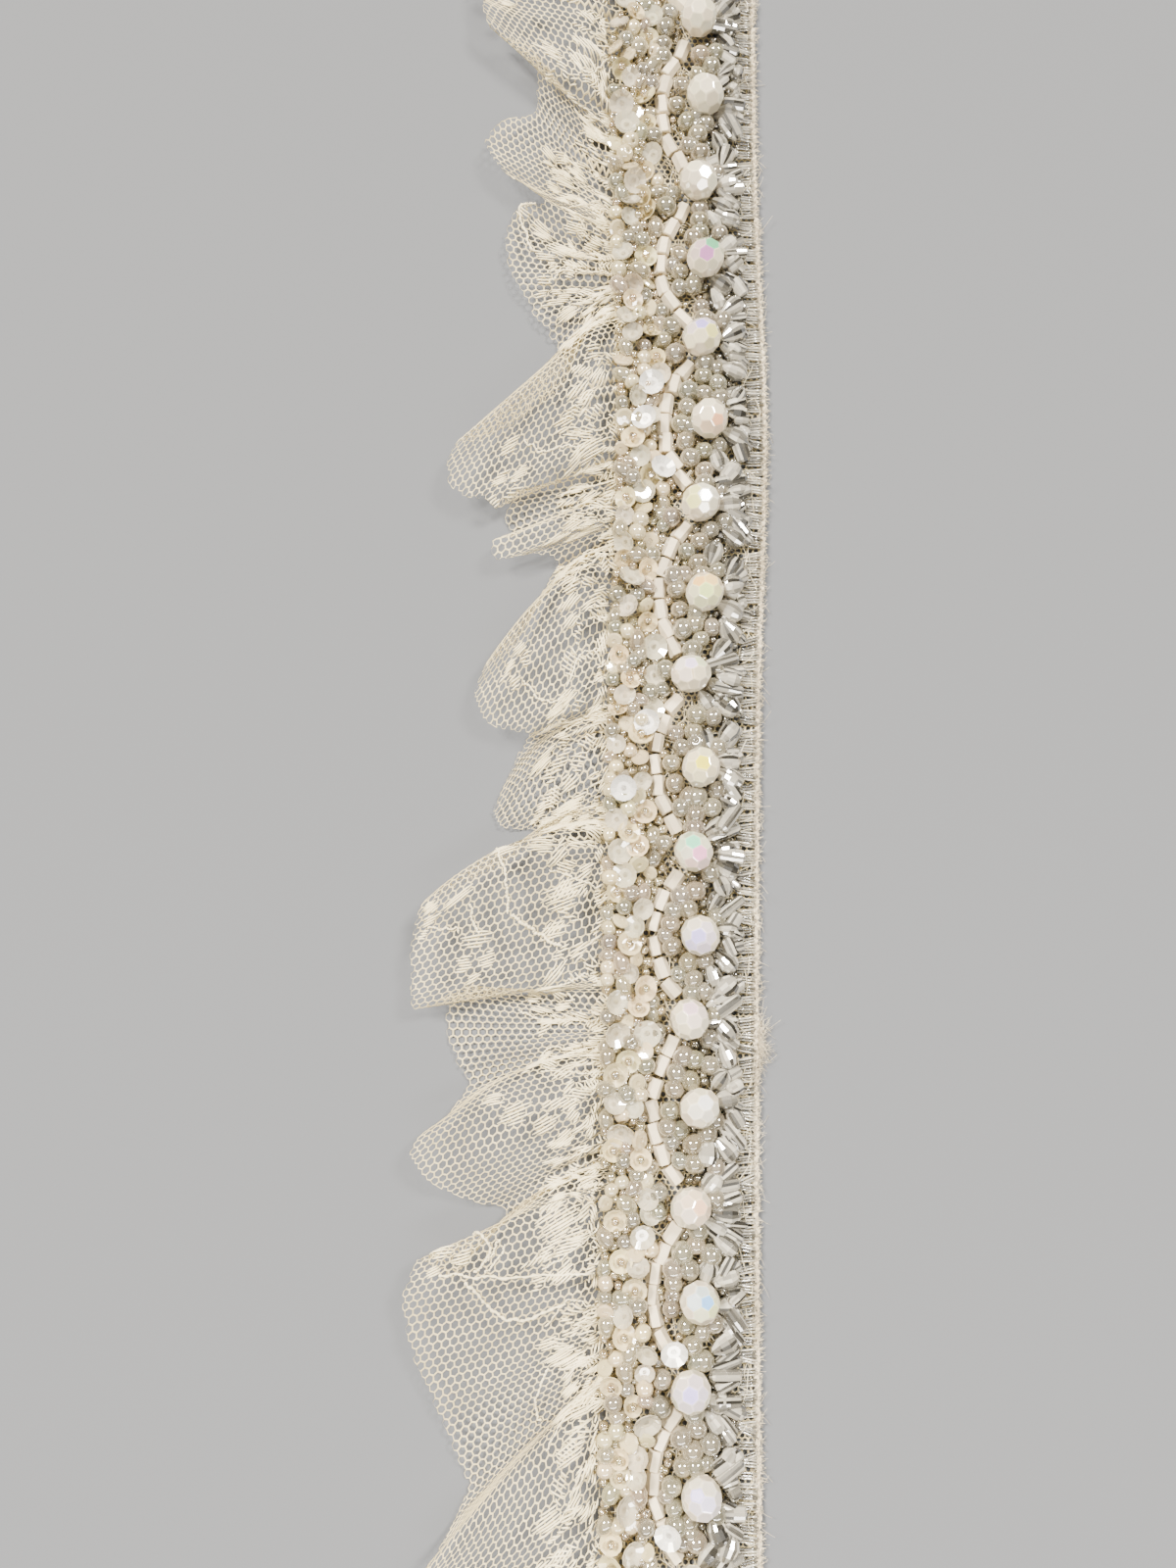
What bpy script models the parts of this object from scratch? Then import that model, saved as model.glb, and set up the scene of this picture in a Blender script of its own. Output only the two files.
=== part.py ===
# Beaded sequin trim with a gathered lace ruffle, a cut length lying flat.
# Millimetres are used in the tables and turned into metres when a mesh is made.
# x runs across the trim (the ruffle on -x, the stitched edge on +x), y along it, z up.
# The origin is under the middle of the whole piece, on the surface that it lies on.

import math

import bpy
import numpy as np

MM = 0.001

# ---- driving sizes ----
LENGTH = 258.0
HALF_LENGTH = LENGTH / 2.0
GAP = 0.3                       # clearance between neighbouring pieces

NET_THICKNESS = 1.0             # sewn ground net that carries every bead
NET_LEFT = 4.6
NET_RIGHT = 24.8
NET_STEP = 8.0

LACE_THICKNESS = 1.0            # the gathered lace
GATHER_X = 4.0                  # the gather seam
HEADING = 3.6                   # the flat heading beside the seam, under the bead stacks
RISE = 5.0                      # over this distance from the seam the folds reach their height
SEAM_Z = NET_THICKNESS + GAP + LACE_THICKNESS / 2.0
FOLD_STEP = 6.0                 # longest piece of the free edge between two lines
TURN = 2.5                      # lines closer than this on the seam make one turn of a fold
RULING = (0.0, 0.09, 0.2, 0.32, 0.46, 0.61, 0.77, 0.9, 1.0)

CORD_RADIUS = 0.75              # stitched edge cord
CORD_X = 25.85
CORD_STEP = 2.0

FACET_RADIUS = 3.0              # large faceted beads
FACET_SIDES = 8
FACET_RINGS = (-66.0, -24.0, 24.0, 66.0)

TUBE_RADIUS = 0.88              # six-sided tube beads, strung in scallops
TUBE_LENGTH = 3.0
TUBE_REACH = 6.8                # how far a scallop passes left of its middle bead

PEARL_RADIUS = 1.25             # glass pearls round each middle bead
PEARL_ORBIT = 4.34

CRYSTAL_RADIUS = 0.65           # clear bugles, one string back and forth to the edge
CRYSTAL_PITCH = 3.3
CRYSTAL_RIGHT = 23.6
CRYSTAL_FAN = 0.25

STACK_X = 6.4                   # sequin-and-bead stacks over the heading
STACK_SWING = 0.8
STACK_PITCH = 6.3
SEQUIN_RADIUS = 1.5

# How far the whole band strays sideways along its length: (y, shift).
SWAY = (
    (-129.0, -1.9),
    (-90.0, -1.8),
    (-45.0, -1.4),
    (5.0, -0.5),
    (52.0, 1.1),
    (86.0, 0.1),
    (129.0, 0.0),
)

# Faceted beads from the far end to the near one: (y, x). Every second one joins two
# scallops, and those between stand in the middle of a scallop.
FACET_BEADS = (
    (115.5, 16.9),
    (102.3, 17.8),
    (87.9, 16.6),
    (75.2, 17.6),
    (62.3, 16.9),
    (49.3, 18.0),
    (36.0, 16.5),
    (22.0, 17.0),
    (9.4, 14.8),
    (-4.8, 16.2),
    (-17.5, 15.0),
    (-29.9, 15.9),
    (-42.2, 14.2),
    (-55.0, 15.6),
    (-69.2, 14.2),
    (-82.5, 15.4),
    (-94.9, 14.0),
    (-109.4, 15.4),
    (-121.7, 13.9),
)

# The folds of the ruffle, from the far end to the near one. Each row is one line of the
# cloth from the seam to the free edge:
# (y on the seam, y on the free edge, reach from the seam, height of its middle, sweep).
# A sweep above 1 leaves the seam straight and turns towards the edge later.
FOLDS = (
    # first lobe, its near side folded under
    (129.0, 129.0, 24.5, 2.6, 1.0),
    (119.0, 122.0, 22.7, 3.6, 1.0),
    (108.0, 117.6, 21.6, 4.4, 1.1),
    (101.0, 114.8, 20.9, 4.7, 1.3),
    (99.0, 114.0, 20.0, 3.2, 1.4),
    (97.0, 112.0, 14.0, 1.9, 1.4),
    # second lobe, an open fan
    (94.7, 105.0, 13.0, 0.5, 1.4),
    (89.6, 101.4, 13.5, 0.6, 1.3),
    (86.4, 99.4, 18.6, 1.4, 1.2),
    (83.6, 94.8, 21.2, 2.8, 1.1),
    (81.0, 89.8, 18.0, 3.4, 1.2),
    (79.2, 85.0, 11.5, 3.3, 1.3),
    # its lower half, coming out from under the fan
    (77.2, 84.6, 16.0, 1.6, 2.0),
    (75.2, 80.6, 17.8, 1.4, 1.3),
    (73.2, 75.5, 17.4, 1.6, 1.0),
    (71.4, 69.0, 14.3, 1.2, 1.0),
    (70.2, 59.1, 8.2, 0.6, 1.8),
    # third lobe, a long cone with its far side folded under
    (68.6, 53.8, 10.3, 1.7, 1.9),
    (67.0, 47.2, 19.5, 2.6, 1.6),
    (65.4, 46.0, 24.0, 3.5, 1.3),
    (63.4, 45.0, 25.0, 4.7, 1.2),
    (59.0, 42.4, 26.4, 4.6, 1.1),
    (54.0, 39.4, 26.2, 3.8, 1.1),
    (49.8, 37.2, 24.0, 3.7, 1.1),
    (46.2, 36.4, 20.6, 3.9, 1.1),
    (44.4, 35.4, 18.8, 2.5, 1.1),
    (42.8, 38.0, 17.4, 1.8, 1.1),
    (41.4, 38.2, 15.8, 0.5, 1.1),
    (40.2, 35.0, 17.6, 0.5, 1.0),
    (39.2, 31.8, 16.6, 0.5, 1.0),
    # fourth lobe, a narrow flute
    (38.2, 30.8, 18.4, 1.9, 1.1),
    (36.8, 29.8, 19.6, 3.8, 1.0),
    (35.0, 27.2, 18.6, 3.4, 1.0),
    (33.6, 28.4, 13.0, 2.6, 1.0),
    (32.2, 27.4, 9.5, 1.4, 1.2),
    (30.8, 25.2, 10.6, 0.5, 1.2),
    # fifth lobe, rounded, with a deep fold along its far side
    (29.4, 15.8, 15.0, 1.9, 2.4),
    (28.2, 12.6, 17.6, 2.5, 2.3),
    (26.8, 11.2, 19.6, 3.5, 2.2),
    (25.0, 10.2, 20.4, 4.7, 2.1),
    (20.5, 6.0, 22.0, 3.9, 1.4),
    (15.0, 2.6, 20.6, 3.2, 1.1),
    (11.2, 0.9, 17.0, 3.1, 1.0),
    (9.2, 0.4, 14.0, 3.1, 1.0),
    # sixth lobe, low, coming out from under the fifth
    (7.2, -0.2, 13.8, 1.8, 1.0),
    (5.2, 0.4, 14.0, 0.5, 1.0),
    (3.4, -5.5, 16.8, 0.5, 2.2),
    (1.2, -10.6, 19.0, 0.6, 1.8),
    (-2.4, -12.8, 18.8, 0.8, 1.2),
    (-6.0, -13.8, 16.8, 0.6, 1.0),
    (-9.0, -14.4, 12.1, 0.6, 1.0),
    # seventh lobe, the broadest, both sides folded under
    (-10.8, -19.3, 17.3, 2.0, 2.7),
    (-12.6, -22.0, 23.0, 2.8, 2.2),
    (-14.0, -24.4, 28.4, 3.5, 2.6),
    (-16.0, -26.4, 29.8, 4.7, 2.4),
    (-20.6, -31.0, 31.0, 4.3, 1.2),
    (-27.0, -36.0, 31.0, 3.7, 1.0),
    (-33.0, -39.6, 30.8, 3.8, 1.0),
    (-36.2, -40.6, 29.5, 2.8, 1.0),
    (-38.4, -37.4, 23.0, 1.9, 1.6),
    # eighth lobe, lying low under the seventh
    (-40.7, -38.0, 22.5, 0.5, 1.5),
    (-42.4, -39.4, 25.4, 0.5, 1.2),
    (-43.8, -44.0, 26.0, 0.6, 1.0),
    (-45.2, -48.4, 24.6, 0.6, 1.0),
    (-46.4, -52.0, 22.8, 0.5, 1.2),
    # ninth lobe
    (-48.0, -57.0, 26.0, 1.9, 2.6),
    (-49.8, -58.8, 29.0, 3.5, 2.1),
    (-51.8, -61.0, 30.6, 4.6, 1.9),
    (-54.8, -63.6, 30.0, 4.1, 1.2),
    (-57.8, -66.8, 26.0, 3.0, 1.0),
    (-60.6, -69.0, 21.0, 1.2, 1.0),
    (-62.8, -70.7, 16.7, 0.6, 1.1),
    # tenth lobe, long and open
    (-64.4, -77.4, 22.5, 2.0, 2.3),
    (-65.8, -79.6, 25.0, 2.5, 2.2),
    (-67.4, -76.8, 29.0, 3.5, 1.6),
    (-69.4, -77.6, 30.0, 4.7, 1.5),
    (-74.0, -82.0, 31.4, 4.3, 1.0),
    (-80.0, -88.5, 30.6, 3.5, 1.0),
    (-86.0, -95.0, 28.0, 2.6, 1.0),
    (-90.0, -102.5, 24.8, 1.3, 1.0),
    (-93.0, -109.6, 22.4, 0.5, 1.0),
    # last lobe, its far side folded under
    (-94.8, -117.0, 26.0, 1.9, 1.4),
    (-96.4, -120.6, 28.5, 2.6, 1.5),
    (-98.2, -121.6, 30.0, 3.6, 1.5),
    (-100.4, -122.4, 30.6, 4.7, 1.4),
    (-108.0, -124.4, 30.0, 4.1, 1.1),
    (-118.0, -127.0, 27.0, 3.2, 1.0),
    (-129.0, -129.0, 25.0, 2.4, 1.0),
)


def curve_through(knots, values, at):
    """Smooth cubic through the values at the knots, read at the given places."""
    slopes = np.gradient(values, knots)
    i = np.clip(np.searchsorted(knots, at, side="right") - 1, 0, len(knots) - 2)
    span = knots[i + 1] - knots[i]
    s = (at - knots[i]) / span
    start = (1 + 2 * s) * (1 - s) ** 2 * values[i] + s * (1 - s) ** 2 * span * slopes[i]
    end = s * s * (3 - 2 * s) * values[i + 1] + s * s * (s - 1) * span * slopes[i + 1]
    return start + end


def sway(y):
    """Sideways shift of the band at the place y."""
    table = np.array(SWAY)
    return curve_through(table[:, 0], table[:, 1], np.asarray(y, dtype=float))


def smooth_step(s):
    """0 below 0, 1 above 1, and a smooth rise between."""
    s = np.clip(s, 0.0, 1.0)
    return s * s * (3 - 2 * s)


def add_piece(name, vertices, faces, colour, roughness, transmission=0.0):
    """Make one named object with its own material from points in millimetres."""
    mesh = bpy.data.meshes.new(name)
    mesh.from_pydata((np.asarray(vertices) * MM).tolist(), [], faces)
    material = bpy.data.materials.new(name)
    material.use_nodes = True
    shader = material.node_tree.nodes["Principled BSDF"]
    shader.inputs["Base Color"].default_value = (*colour, 1.0)
    shader.inputs["Roughness"].default_value = roughness
    shader.inputs["Transmission Weight"].default_value = transmission
    mesh.materials.append(material)
    piece = bpy.data.objects.new(name, mesh)
    bpy.context.scene.collection.objects.link(piece)
    return piece


def grid_faces(rows, columns, first=0, flipped=False):
    """Quads of a grid of points stored row by row."""
    faces = []
    for r in range(rows - 1):
        for c in range(columns - 1):
            a = first + r * columns + c
            b, c, d = a + 1, a + columns + 1, a + columns
            faces.append((a, d, c, b) if flipped else (a, b, c, d))
    return faces


def sheet_solid(grid, thickness):
    """Closed solid of even thickness about a grid of points, kept above the floor."""
    rows, columns = grid.shape[:2]
    normal = np.cross(np.gradient(grid, axis=0), np.gradient(grid, axis=1))
    normal /= np.linalg.norm(normal, axis=2, keepdims=True)
    upper = grid + normal * thickness / 2.0
    lower = grid - normal * thickness / 2.0
    upper[..., 2] = np.maximum(upper[..., 2], 0.0)
    lower[..., 2] = np.maximum(lower[..., 2], 0.0)
    count = rows * columns
    faces = grid_faces(rows, columns, flipped=True) + grid_faces(rows, columns, first=count)
    rim = [c for c in range(columns)]
    rim += [r * columns + columns - 1 for r in range(1, rows)]
    rim += [(rows - 1) * columns + c for c in range(columns - 2, -1, -1)]
    rim += [r * columns for r in range(rows - 2, 0, -1)]
    for a, b in zip(rim, rim[1:] + rim[:1]):
        faces.append((a, b, b + count, a + count))
    return np.concatenate([upper.reshape(-1, 3), lower.reshape(-1, 3)]), faces


def strand_solid(path, radii, sides, turn=0.0, mitred=False):
    """Closed tube along a path, with its own radius at each point of the path."""
    step = np.diff(path, axis=0)
    step /= np.linalg.norm(step, axis=1, keepdims=True)
    tangent = np.concatenate([step[:1], step[1:] + step[:-1], step[-1:]])
    tangent /= np.linalg.norm(tangent, axis=1, keepdims=True)
    side = np.cross((0.0, 0.0, 1.0), tangent)
    side /= np.linalg.norm(side, axis=1, keepdims=True)
    up = np.cross(tangent, side)
    stretch = np.ones(len(path))
    if mitred:
        stretch[1:-1] = 1.0 / (step[1:] * tangent[1:-1]).sum(axis=1)
    angle = turn + np.arange(sides) * math.tau / sides
    around = side[:, None] * np.cos(angle)[None, :, None] * stretch[:, None, None]
    around = around + up[:, None] * np.sin(angle)[None, :, None]
    points = path[:, None] + around * np.asarray(radii)[:, None, None]
    faces = []
    for ring in range(len(path) - 1):
        for k in range(sides):
            a = ring * sides + k
            b = ring * sides + (k + 1) % sides
            faces.append((a, b, b + sides, a + sides))
    last = (len(path) - 1) * sides
    faces.append(tuple(range(sides - 1, -1, -1)))
    faces.append(tuple(range(last, last + sides)))
    return points.reshape(-1, 3), faces


def along_path(path, distance):
    """Points of a path at given distances from its start."""
    length = np.concatenate([[0.0], np.cumsum(np.linalg.norm(np.diff(path, axis=0), axis=1))])
    return np.stack([np.interp(distance, length, path[:, k]) for k in range(3)], axis=1)


def path_length(path):
    return float(np.linalg.norm(np.diff(path, axis=0), axis=1).sum())


def beads_on(path, count, radius, length, profile):
    """Rings for a count of equal beads on a path: each (place, radius) pair of the
    profile gives one ring, as fractions of the bead's half length and radius."""
    centres = (np.arange(count) + 0.5) * path_length(path) / count
    places = centres[:, None] + np.array([p for p, _ in profile])[None, :] * length / 2.0
    radii = np.tile([r * radius for _, r in profile], count)
    return along_path(path, places.ravel()), radii


def fold_lines():
    """The fold table with further lines between its rows where the
    free edge runs far and the seam has room."""
    table = np.array(FOLDS)
    edge = np.stack([table[:, 2], table[:, 1], table[:, 3]], axis=1)
    steps = np.ceil(np.linalg.norm(np.diff(edge, axis=0), axis=1) / FOLD_STEP).astype(int)
    steps[-np.diff(table[:, 0]) < TURN] = 1
    places = [i + np.arange(n) / n for i, n in enumerate(steps)]
    at = np.concatenate(places + [[len(table) - 1.0]])
    knots = np.arange(len(table), dtype=float)
    columns = [np.interp(at, knots, table[:, 0])]
    columns += [curve_through(knots, table[:, k], at) for k in range(1, 5)]
    return columns


def lace_ruffle():
    """Gathered lace: each line of cloth runs from the seam to the free edge as
    y = root + (edge - root) * v**sweep, and the heights grow over the first RISE."""
    root, edge, reach, height, sweep = fold_lines()
    drift = sway(root)
    grid = []
    for across in (HEADING, HEADING / 2.0):
        grid.append(np.stack([GATHER_X + across + drift, root, np.full_like(root, SEAM_Z)], axis=1))
    for v in RULING:
        distance = v * reach
        x = GATHER_X - distance + drift * (1.0 - v) ** 2
        y = root + (edge - root) * v ** sweep
        z = SEAM_Z + (height - SEAM_Z) * smooth_step(distance / RISE)
        grid.append(np.stack([x, y, z], axis=1))
    vertices, faces = sheet_solid(np.stack(grid), LACE_THICKNESS)
    return add_piece("lace_ruffle", vertices, faces, (0.71, 0.65, 0.49), 0.9)


def ground_net():
    """Flat net strip under the beads, its long edges following the band's sway."""
    y = np.linspace(HALF_LENGTH, -HALF_LENGTH, int(LENGTH / NET_STEP) + 1)
    middle = np.full_like(y, NET_THICKNESS / 2.0)
    rows = [np.stack([x + sway(y), y, middle], axis=1) for x in (NET_RIGHT, NET_LEFT)]
    vertices, faces = sheet_solid(np.stack(rows), NET_THICKNESS)
    return add_piece("ground_net", vertices, faces, (0.62, 0.57, 0.45), 0.9)


def edge_cord():
    """Stitched cord along the outer edge, thick and thin by turns."""
    y = np.linspace(HALF_LENGTH, -HALF_LENGTH, int(LENGTH / CORD_STEP) + 1)
    path = np.stack([CORD_X + sway(y), y, np.full_like(y, CORD_RADIUS)], axis=1)
    radii = np.where(np.arange(len(y)) % 2 == 0, CORD_RADIUS, 0.75 * CORD_RADIUS)
    vertices, faces = strand_solid(path, radii, 5, turn=math.pi / 2)
    return add_piece("edge_cord", vertices, faces, (0.74, 0.68, 0.54), 0.9)


def facet_bead(number, y, x):
    """Cut bead: rings of corners, each turned by half a step from the one below."""
    middle = NET_THICKNESS + GAP + FACET_RADIUS * math.sin(math.radians(FACET_RINGS[-1]))
    vertices = []
    for ring, elevation in enumerate(FACET_RINGS):
        for k in range(FACET_SIDES):
            angle = (k + 0.5 * (ring % 2)) * math.tau / FACET_SIDES
            wide = FACET_RADIUS * math.cos(math.radians(elevation))
            high = FACET_RADIUS * math.sin(math.radians(elevation))
            vertices.append((x + wide * math.cos(angle), y + wide * math.sin(angle), middle + high))
    faces = [tuple(range(FACET_SIDES - 1, -1, -1))]
    for ring in range(len(FACET_RINGS) - 1):
        for k in range(FACET_SIDES):
            a = ring * FACET_SIDES + k
            b = ring * FACET_SIDES + (k + 1) % FACET_SIDES
            shift = ring % 2
            c = (ring + 1) * FACET_SIDES + (k + shift) % FACET_SIDES
            d = (ring + 1) * FACET_SIDES + (k + 1 + shift) % FACET_SIDES
            if shift:
                faces.append((a, b, c))
                faces.append((a, c, (ring + 1) * FACET_SIDES + k))
            else:
                faces.append((a, b, c))
                faces.append((b, d, c))
    top = (len(FACET_RINGS) - 1) * FACET_SIDES
    faces.append(tuple(range(top, top + FACET_SIDES)))
    add_piece("facet_bead_%02d" % number, vertices, faces, (0.8, 0.78, 0.76), 0.15)


def scallop_path(start, end, middle):
    """Curve left of the middle bead, from under one joining bead to the next.
    start, end and middle are (y, x); the curve bows by half a sine wave."""
    s = np.linspace(0.0, 1.0, 41)
    left = middle[1] - TUBE_REACH
    ends = np.interp(s, (0.0, 1.0), (start[1] - 1.5, end[1] - 1.5))
    bow = np.sin(math.pi * s) ** 0.8
    x = ends + (left - ends) * bow
    y = np.interp(s, (0.0, 1.0), (start[0] - 3.5, end[0] + 3.5))
    z = np.full_like(s, NET_THICKNESS + GAP + TUBE_RADIUS)
    return np.stack([x, y, z], axis=1)


def tube_scallop(number, path):
    """Six-sided tube beads strung in a row, with the thread showing between them."""
    count = max(2, round(path_length(path) / (TUBE_LENGTH + GAP)))
    profile = ((-0.94, 1.0), (0.94, 1.0), (1.06, 0.6))
    rings, radii = beads_on(path, count, TUBE_RADIUS, TUBE_LENGTH, profile)
    vertices, faces = strand_solid(rings[:-1], radii[:-1], 6)
    add_piece("tube_scallop_%02d" % number, vertices, faces, (0.74, 0.68, 0.58), 0.3)


def pearl_arc(number, middle, before, after):
    """Pearls round the left side of a middle bead, the end ones beside its neighbours."""
    y, x = middle
    turn = np.radians(np.linspace(105.0, 255.0, 31))
    arc_x = x + PEARL_ORBIT * np.cos(turn)
    arc_y = y + PEARL_ORBIT * np.sin(turn)
    rise = np.linspace(0.0, 1.0, 8)
    lead_y = np.interp(rise, (0.0, 1.0), (before[0] - 4.2, arc_y[0]))[:-1]
    lead_x = np.interp(rise, (0.0, 1.0), (x - 0.4, arc_x[0]))[:-1]
    tail_y = np.interp(rise, (0.0, 1.0), (arc_y[-1], after[0] + 4.2))[1:]
    tail_x = np.interp(rise, (0.0, 1.0), (arc_x[-1], x - 0.4))[1:]
    flat_x = np.concatenate([lead_x, arc_x, tail_x])
    flat_y = np.concatenate([lead_y, arc_y, tail_y])
    height = np.full_like(flat_x, NET_THICKNESS + GAP + PEARL_RADIUS)
    path = np.stack([flat_x, flat_y, height], axis=1)
    profile = ((-0.93, 0.4), (-0.38, 0.94), (0.38, 0.94), (0.93, 0.4))
    count = int(path_length(path) / (2.0 * PEARL_RADIUS + GAP))
    rings, radii = beads_on(path, count, PEARL_RADIUS, 2.0 * PEARL_RADIUS, profile)
    vertices, faces = strand_solid(rings, radii, 5, turn=math.pi / 2)
    add_piece("pearl_arc_%02d" % number, vertices, faces, (0.78, 0.75, 0.68), 0.1, 0.6)


def crystal_string():
    """Clear bugles on one string, back and forth between the faceted beads and the edge,
    fanned towards the nearest faceted bead."""
    bead_y = np.array([y for y, _ in FACET_BEADS])
    bead_x = np.array([x for _, x in FACET_BEADS])
    count = int((LENGTH - 6.0) / CRYSTAL_PITCH)
    path = []
    for leg in range(count):
        y = HALF_LENGTH - 3.0 - leg * CRYSTAL_PITCH
        near = int(np.argmin(np.abs(bead_y - y)))
        inward = y + (bead_y[near] - y) * CRYSTAL_FAN
        clear = 4.0 - 1.6 * smooth_step(abs(bead_y[near] - inward) / 6.6)
        left = (bead_x[near] + clear, inward)
        right = (CRYSTAL_RIGHT + float(sway(y)), y)
        ends = (left, right) if leg % 2 == 0 else (right, left)
        path += [(*end, NET_THICKNESS + GAP + CRYSTAL_RADIUS) for end in ends]
    path = np.array(path)
    vertices, faces = strand_solid(path, np.full(len(path), CRYSTAL_RADIUS), 5, math.pi / 2, True)
    add_piece("crystal_string", vertices, faces, (0.85, 0.84, 0.8), 0.05, 0.9)


def sequin_stacks():
    """Cup sequins, each with a small pearl against it, in a row over the lace heading."""
    y = np.linspace(HALF_LENGTH - 2.0, -HALF_LENGTH + 2.0, 160)
    swing = STACK_SWING * np.sin(y * math.pi / STACK_PITCH)
    height = SEAM_Z + LACE_THICKNESS / 2.0 + GAP + SEQUIN_RADIUS
    path = np.stack([STACK_X + swing + sway(y), y, np.full_like(y, height)], axis=1)
    count = int(LENGTH / STACK_PITCH)
    profile = ((-0.62, 0.3), (-0.4, 1.0), (-0.12, 1.0), (0.18, 0.8), (0.6, 0.5))
    rings, radii = beads_on(path, count, SEQUIN_RADIUS, 0.8 * STACK_PITCH, profile)
    vertices, faces = strand_solid(rings, radii, 5, turn=math.pi / 2)
    add_piece("sequin_stacks", vertices, faces, (0.76, 0.72, 0.62), 0.25)


def build():
    for old in list(bpy.data.objects):
        bpy.data.objects.remove(old, do_unlink=True)
    ground_net()
    lace_ruffle()
    edge_cord()
    for number, (y, x) in enumerate(FACET_BEADS, start=1):
        facet_bead(number, y, x)
    joins = FACET_BEADS[0::2]
    middles = FACET_BEADS[1::2]
    for number, middle in enumerate(middles, start=1):
        before, after = joins[number - 1], joins[number]
        tube_scallop(number, scallop_path(before, after, middle))
        pearl_arc(number, middle, before, after)
    far_half = scallop_path((joins[0][0] + 26.0, joins[0][1]), joins[0], (0.0, joins[0][1] + 0.6))
    tube_scallop(len(middles) + 1, far_half[far_half[:, 1] < HALF_LENGTH - 1.0])
    crystal_string()
    sequin_stacks()


build()
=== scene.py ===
import math

import bmesh
import bpy
import numpy as np
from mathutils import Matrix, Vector


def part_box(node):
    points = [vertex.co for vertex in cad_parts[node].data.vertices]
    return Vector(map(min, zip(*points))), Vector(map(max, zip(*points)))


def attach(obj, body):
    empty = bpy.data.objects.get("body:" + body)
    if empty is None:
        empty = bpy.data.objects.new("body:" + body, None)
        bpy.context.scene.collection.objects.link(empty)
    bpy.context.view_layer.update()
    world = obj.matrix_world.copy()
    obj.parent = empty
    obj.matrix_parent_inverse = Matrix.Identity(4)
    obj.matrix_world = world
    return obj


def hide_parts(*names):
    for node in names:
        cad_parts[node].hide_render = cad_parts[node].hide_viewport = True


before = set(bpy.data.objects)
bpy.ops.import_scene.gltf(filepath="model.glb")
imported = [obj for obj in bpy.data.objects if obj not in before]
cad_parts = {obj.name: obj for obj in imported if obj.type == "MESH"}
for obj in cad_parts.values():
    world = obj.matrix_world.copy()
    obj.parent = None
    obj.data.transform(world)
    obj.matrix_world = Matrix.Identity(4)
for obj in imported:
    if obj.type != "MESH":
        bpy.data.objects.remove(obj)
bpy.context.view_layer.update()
mm = 0.001
print("frame loaded")


def putMesh(name, points, faces, material, smooth=True, colours=None):
    # points in mm (n, 3); faces is a list of index arrays, each (count, corners)
    mesh = bpy.data.meshes.new(name)
    points = np.asarray(points, dtype=np.float32) * mm
    corners = np.concatenate([f.ravel() for f in faces]).astype(np.int32)
    totals = np.concatenate([np.full(len(f), f.shape[1]) for f in faces]).astype(np.int32)
    starts = np.concatenate([[0], np.cumsum(totals)[:-1]]).astype(np.int32)
    mesh.vertices.add(len(points))
    mesh.vertices.foreach_set("co", points.ravel())
    mesh.loops.add(len(corners))
    mesh.loops.foreach_set("vertex_index", corners)
    mesh.polygons.add(len(totals))
    mesh.polygons.foreach_set("loop_start", starts)
    mesh.update(calc_edges=True)
    mesh.polygons.foreach_set("use_smooth", np.full(len(totals), smooth))
    if colours is not None:  # one colour for each point, or one for each corner of each face
        domain = "POINT" if len(colours) == len(points) else "CORNER"
        layer = mesh.color_attributes.new("tint", "FLOAT_COLOR", domain)
        layer.data.foreach_set("color", np.asarray(colours, dtype=np.float32).ravel())
    mesh.materials.append(material)
    mesh.validate()
    piece = bpy.data.objects.new(name, mesh)
    bpy.context.scene.collection.objects.link(piece)
    return piece


def gridFaces(rows, columns):
    # quads between neighbouring rows of points, each row a closed ring of columns
    r, c = np.meshgrid(np.arange(rows - 1), np.arange(columns), indexing="ij")
    nextC = (c + 1) % columns
    quad = [r * columns + c, r * columns + nextC, (r + 1) * columns + nextC, (r + 1) * columns + c]
    return np.stack(quad, axis=-1).reshape(-1, 4)


def turnedProfile(profile, sides):
    # a profile of (place along z, radius) turned round z; the ends are closed
    along = np.array([p for p, _ in profile])
    radius = np.array([r for _, r in profile])
    angle = np.arange(sides) * math.tau / sides
    x = radius[:, None] * np.cos(angle)
    y = radius[:, None] * np.sin(angle)
    z = np.repeat(along[:, None], sides, axis=1)
    points = np.stack([x, y, z], axis=-1).reshape(-1, 3)
    last = (len(profile) - 1) * sides
    caps = np.array([np.arange(sides)[::-1], last + np.arange(sides)])
    return points, [gridFaces(len(profile), sides), caps]


def beadProfile(radius, halfLength, hole, rows):
    # a round bead with its hole: half an oval from hole rim to hole rim, and the hole's wall
    angle = np.linspace(-1.0, 1.0, rows) * math.acos(hole / radius)
    pairs = [(halfLength * math.sin(a) / math.sin(angle[-1]), radius * math.cos(a)) for a in angle]
    inside = 0.55 * halfLength
    return [(-inside, hole * 0.9)] + pairs + [(inside, hole * 0.9)]


def unit(v):
    # each vector divided by its length
    return v / np.maximum(np.linalg.norm(v, axis=-1, keepdims=True), 1e-9)


def framesAlong(direction):
    # turning matrices whose z axis is the direction and whose x axis lies level
    z = unit(np.asarray(direction, dtype=float))
    steep = np.abs(z[..., 2:]) > 0.98
    up = np.where(steep, (1.0, 0.0, 0.0), (0.0, 0.0, 1.0))
    x = unit(np.cross(up, z))
    return np.stack([x, np.cross(z, x), z], axis=-1)


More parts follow.
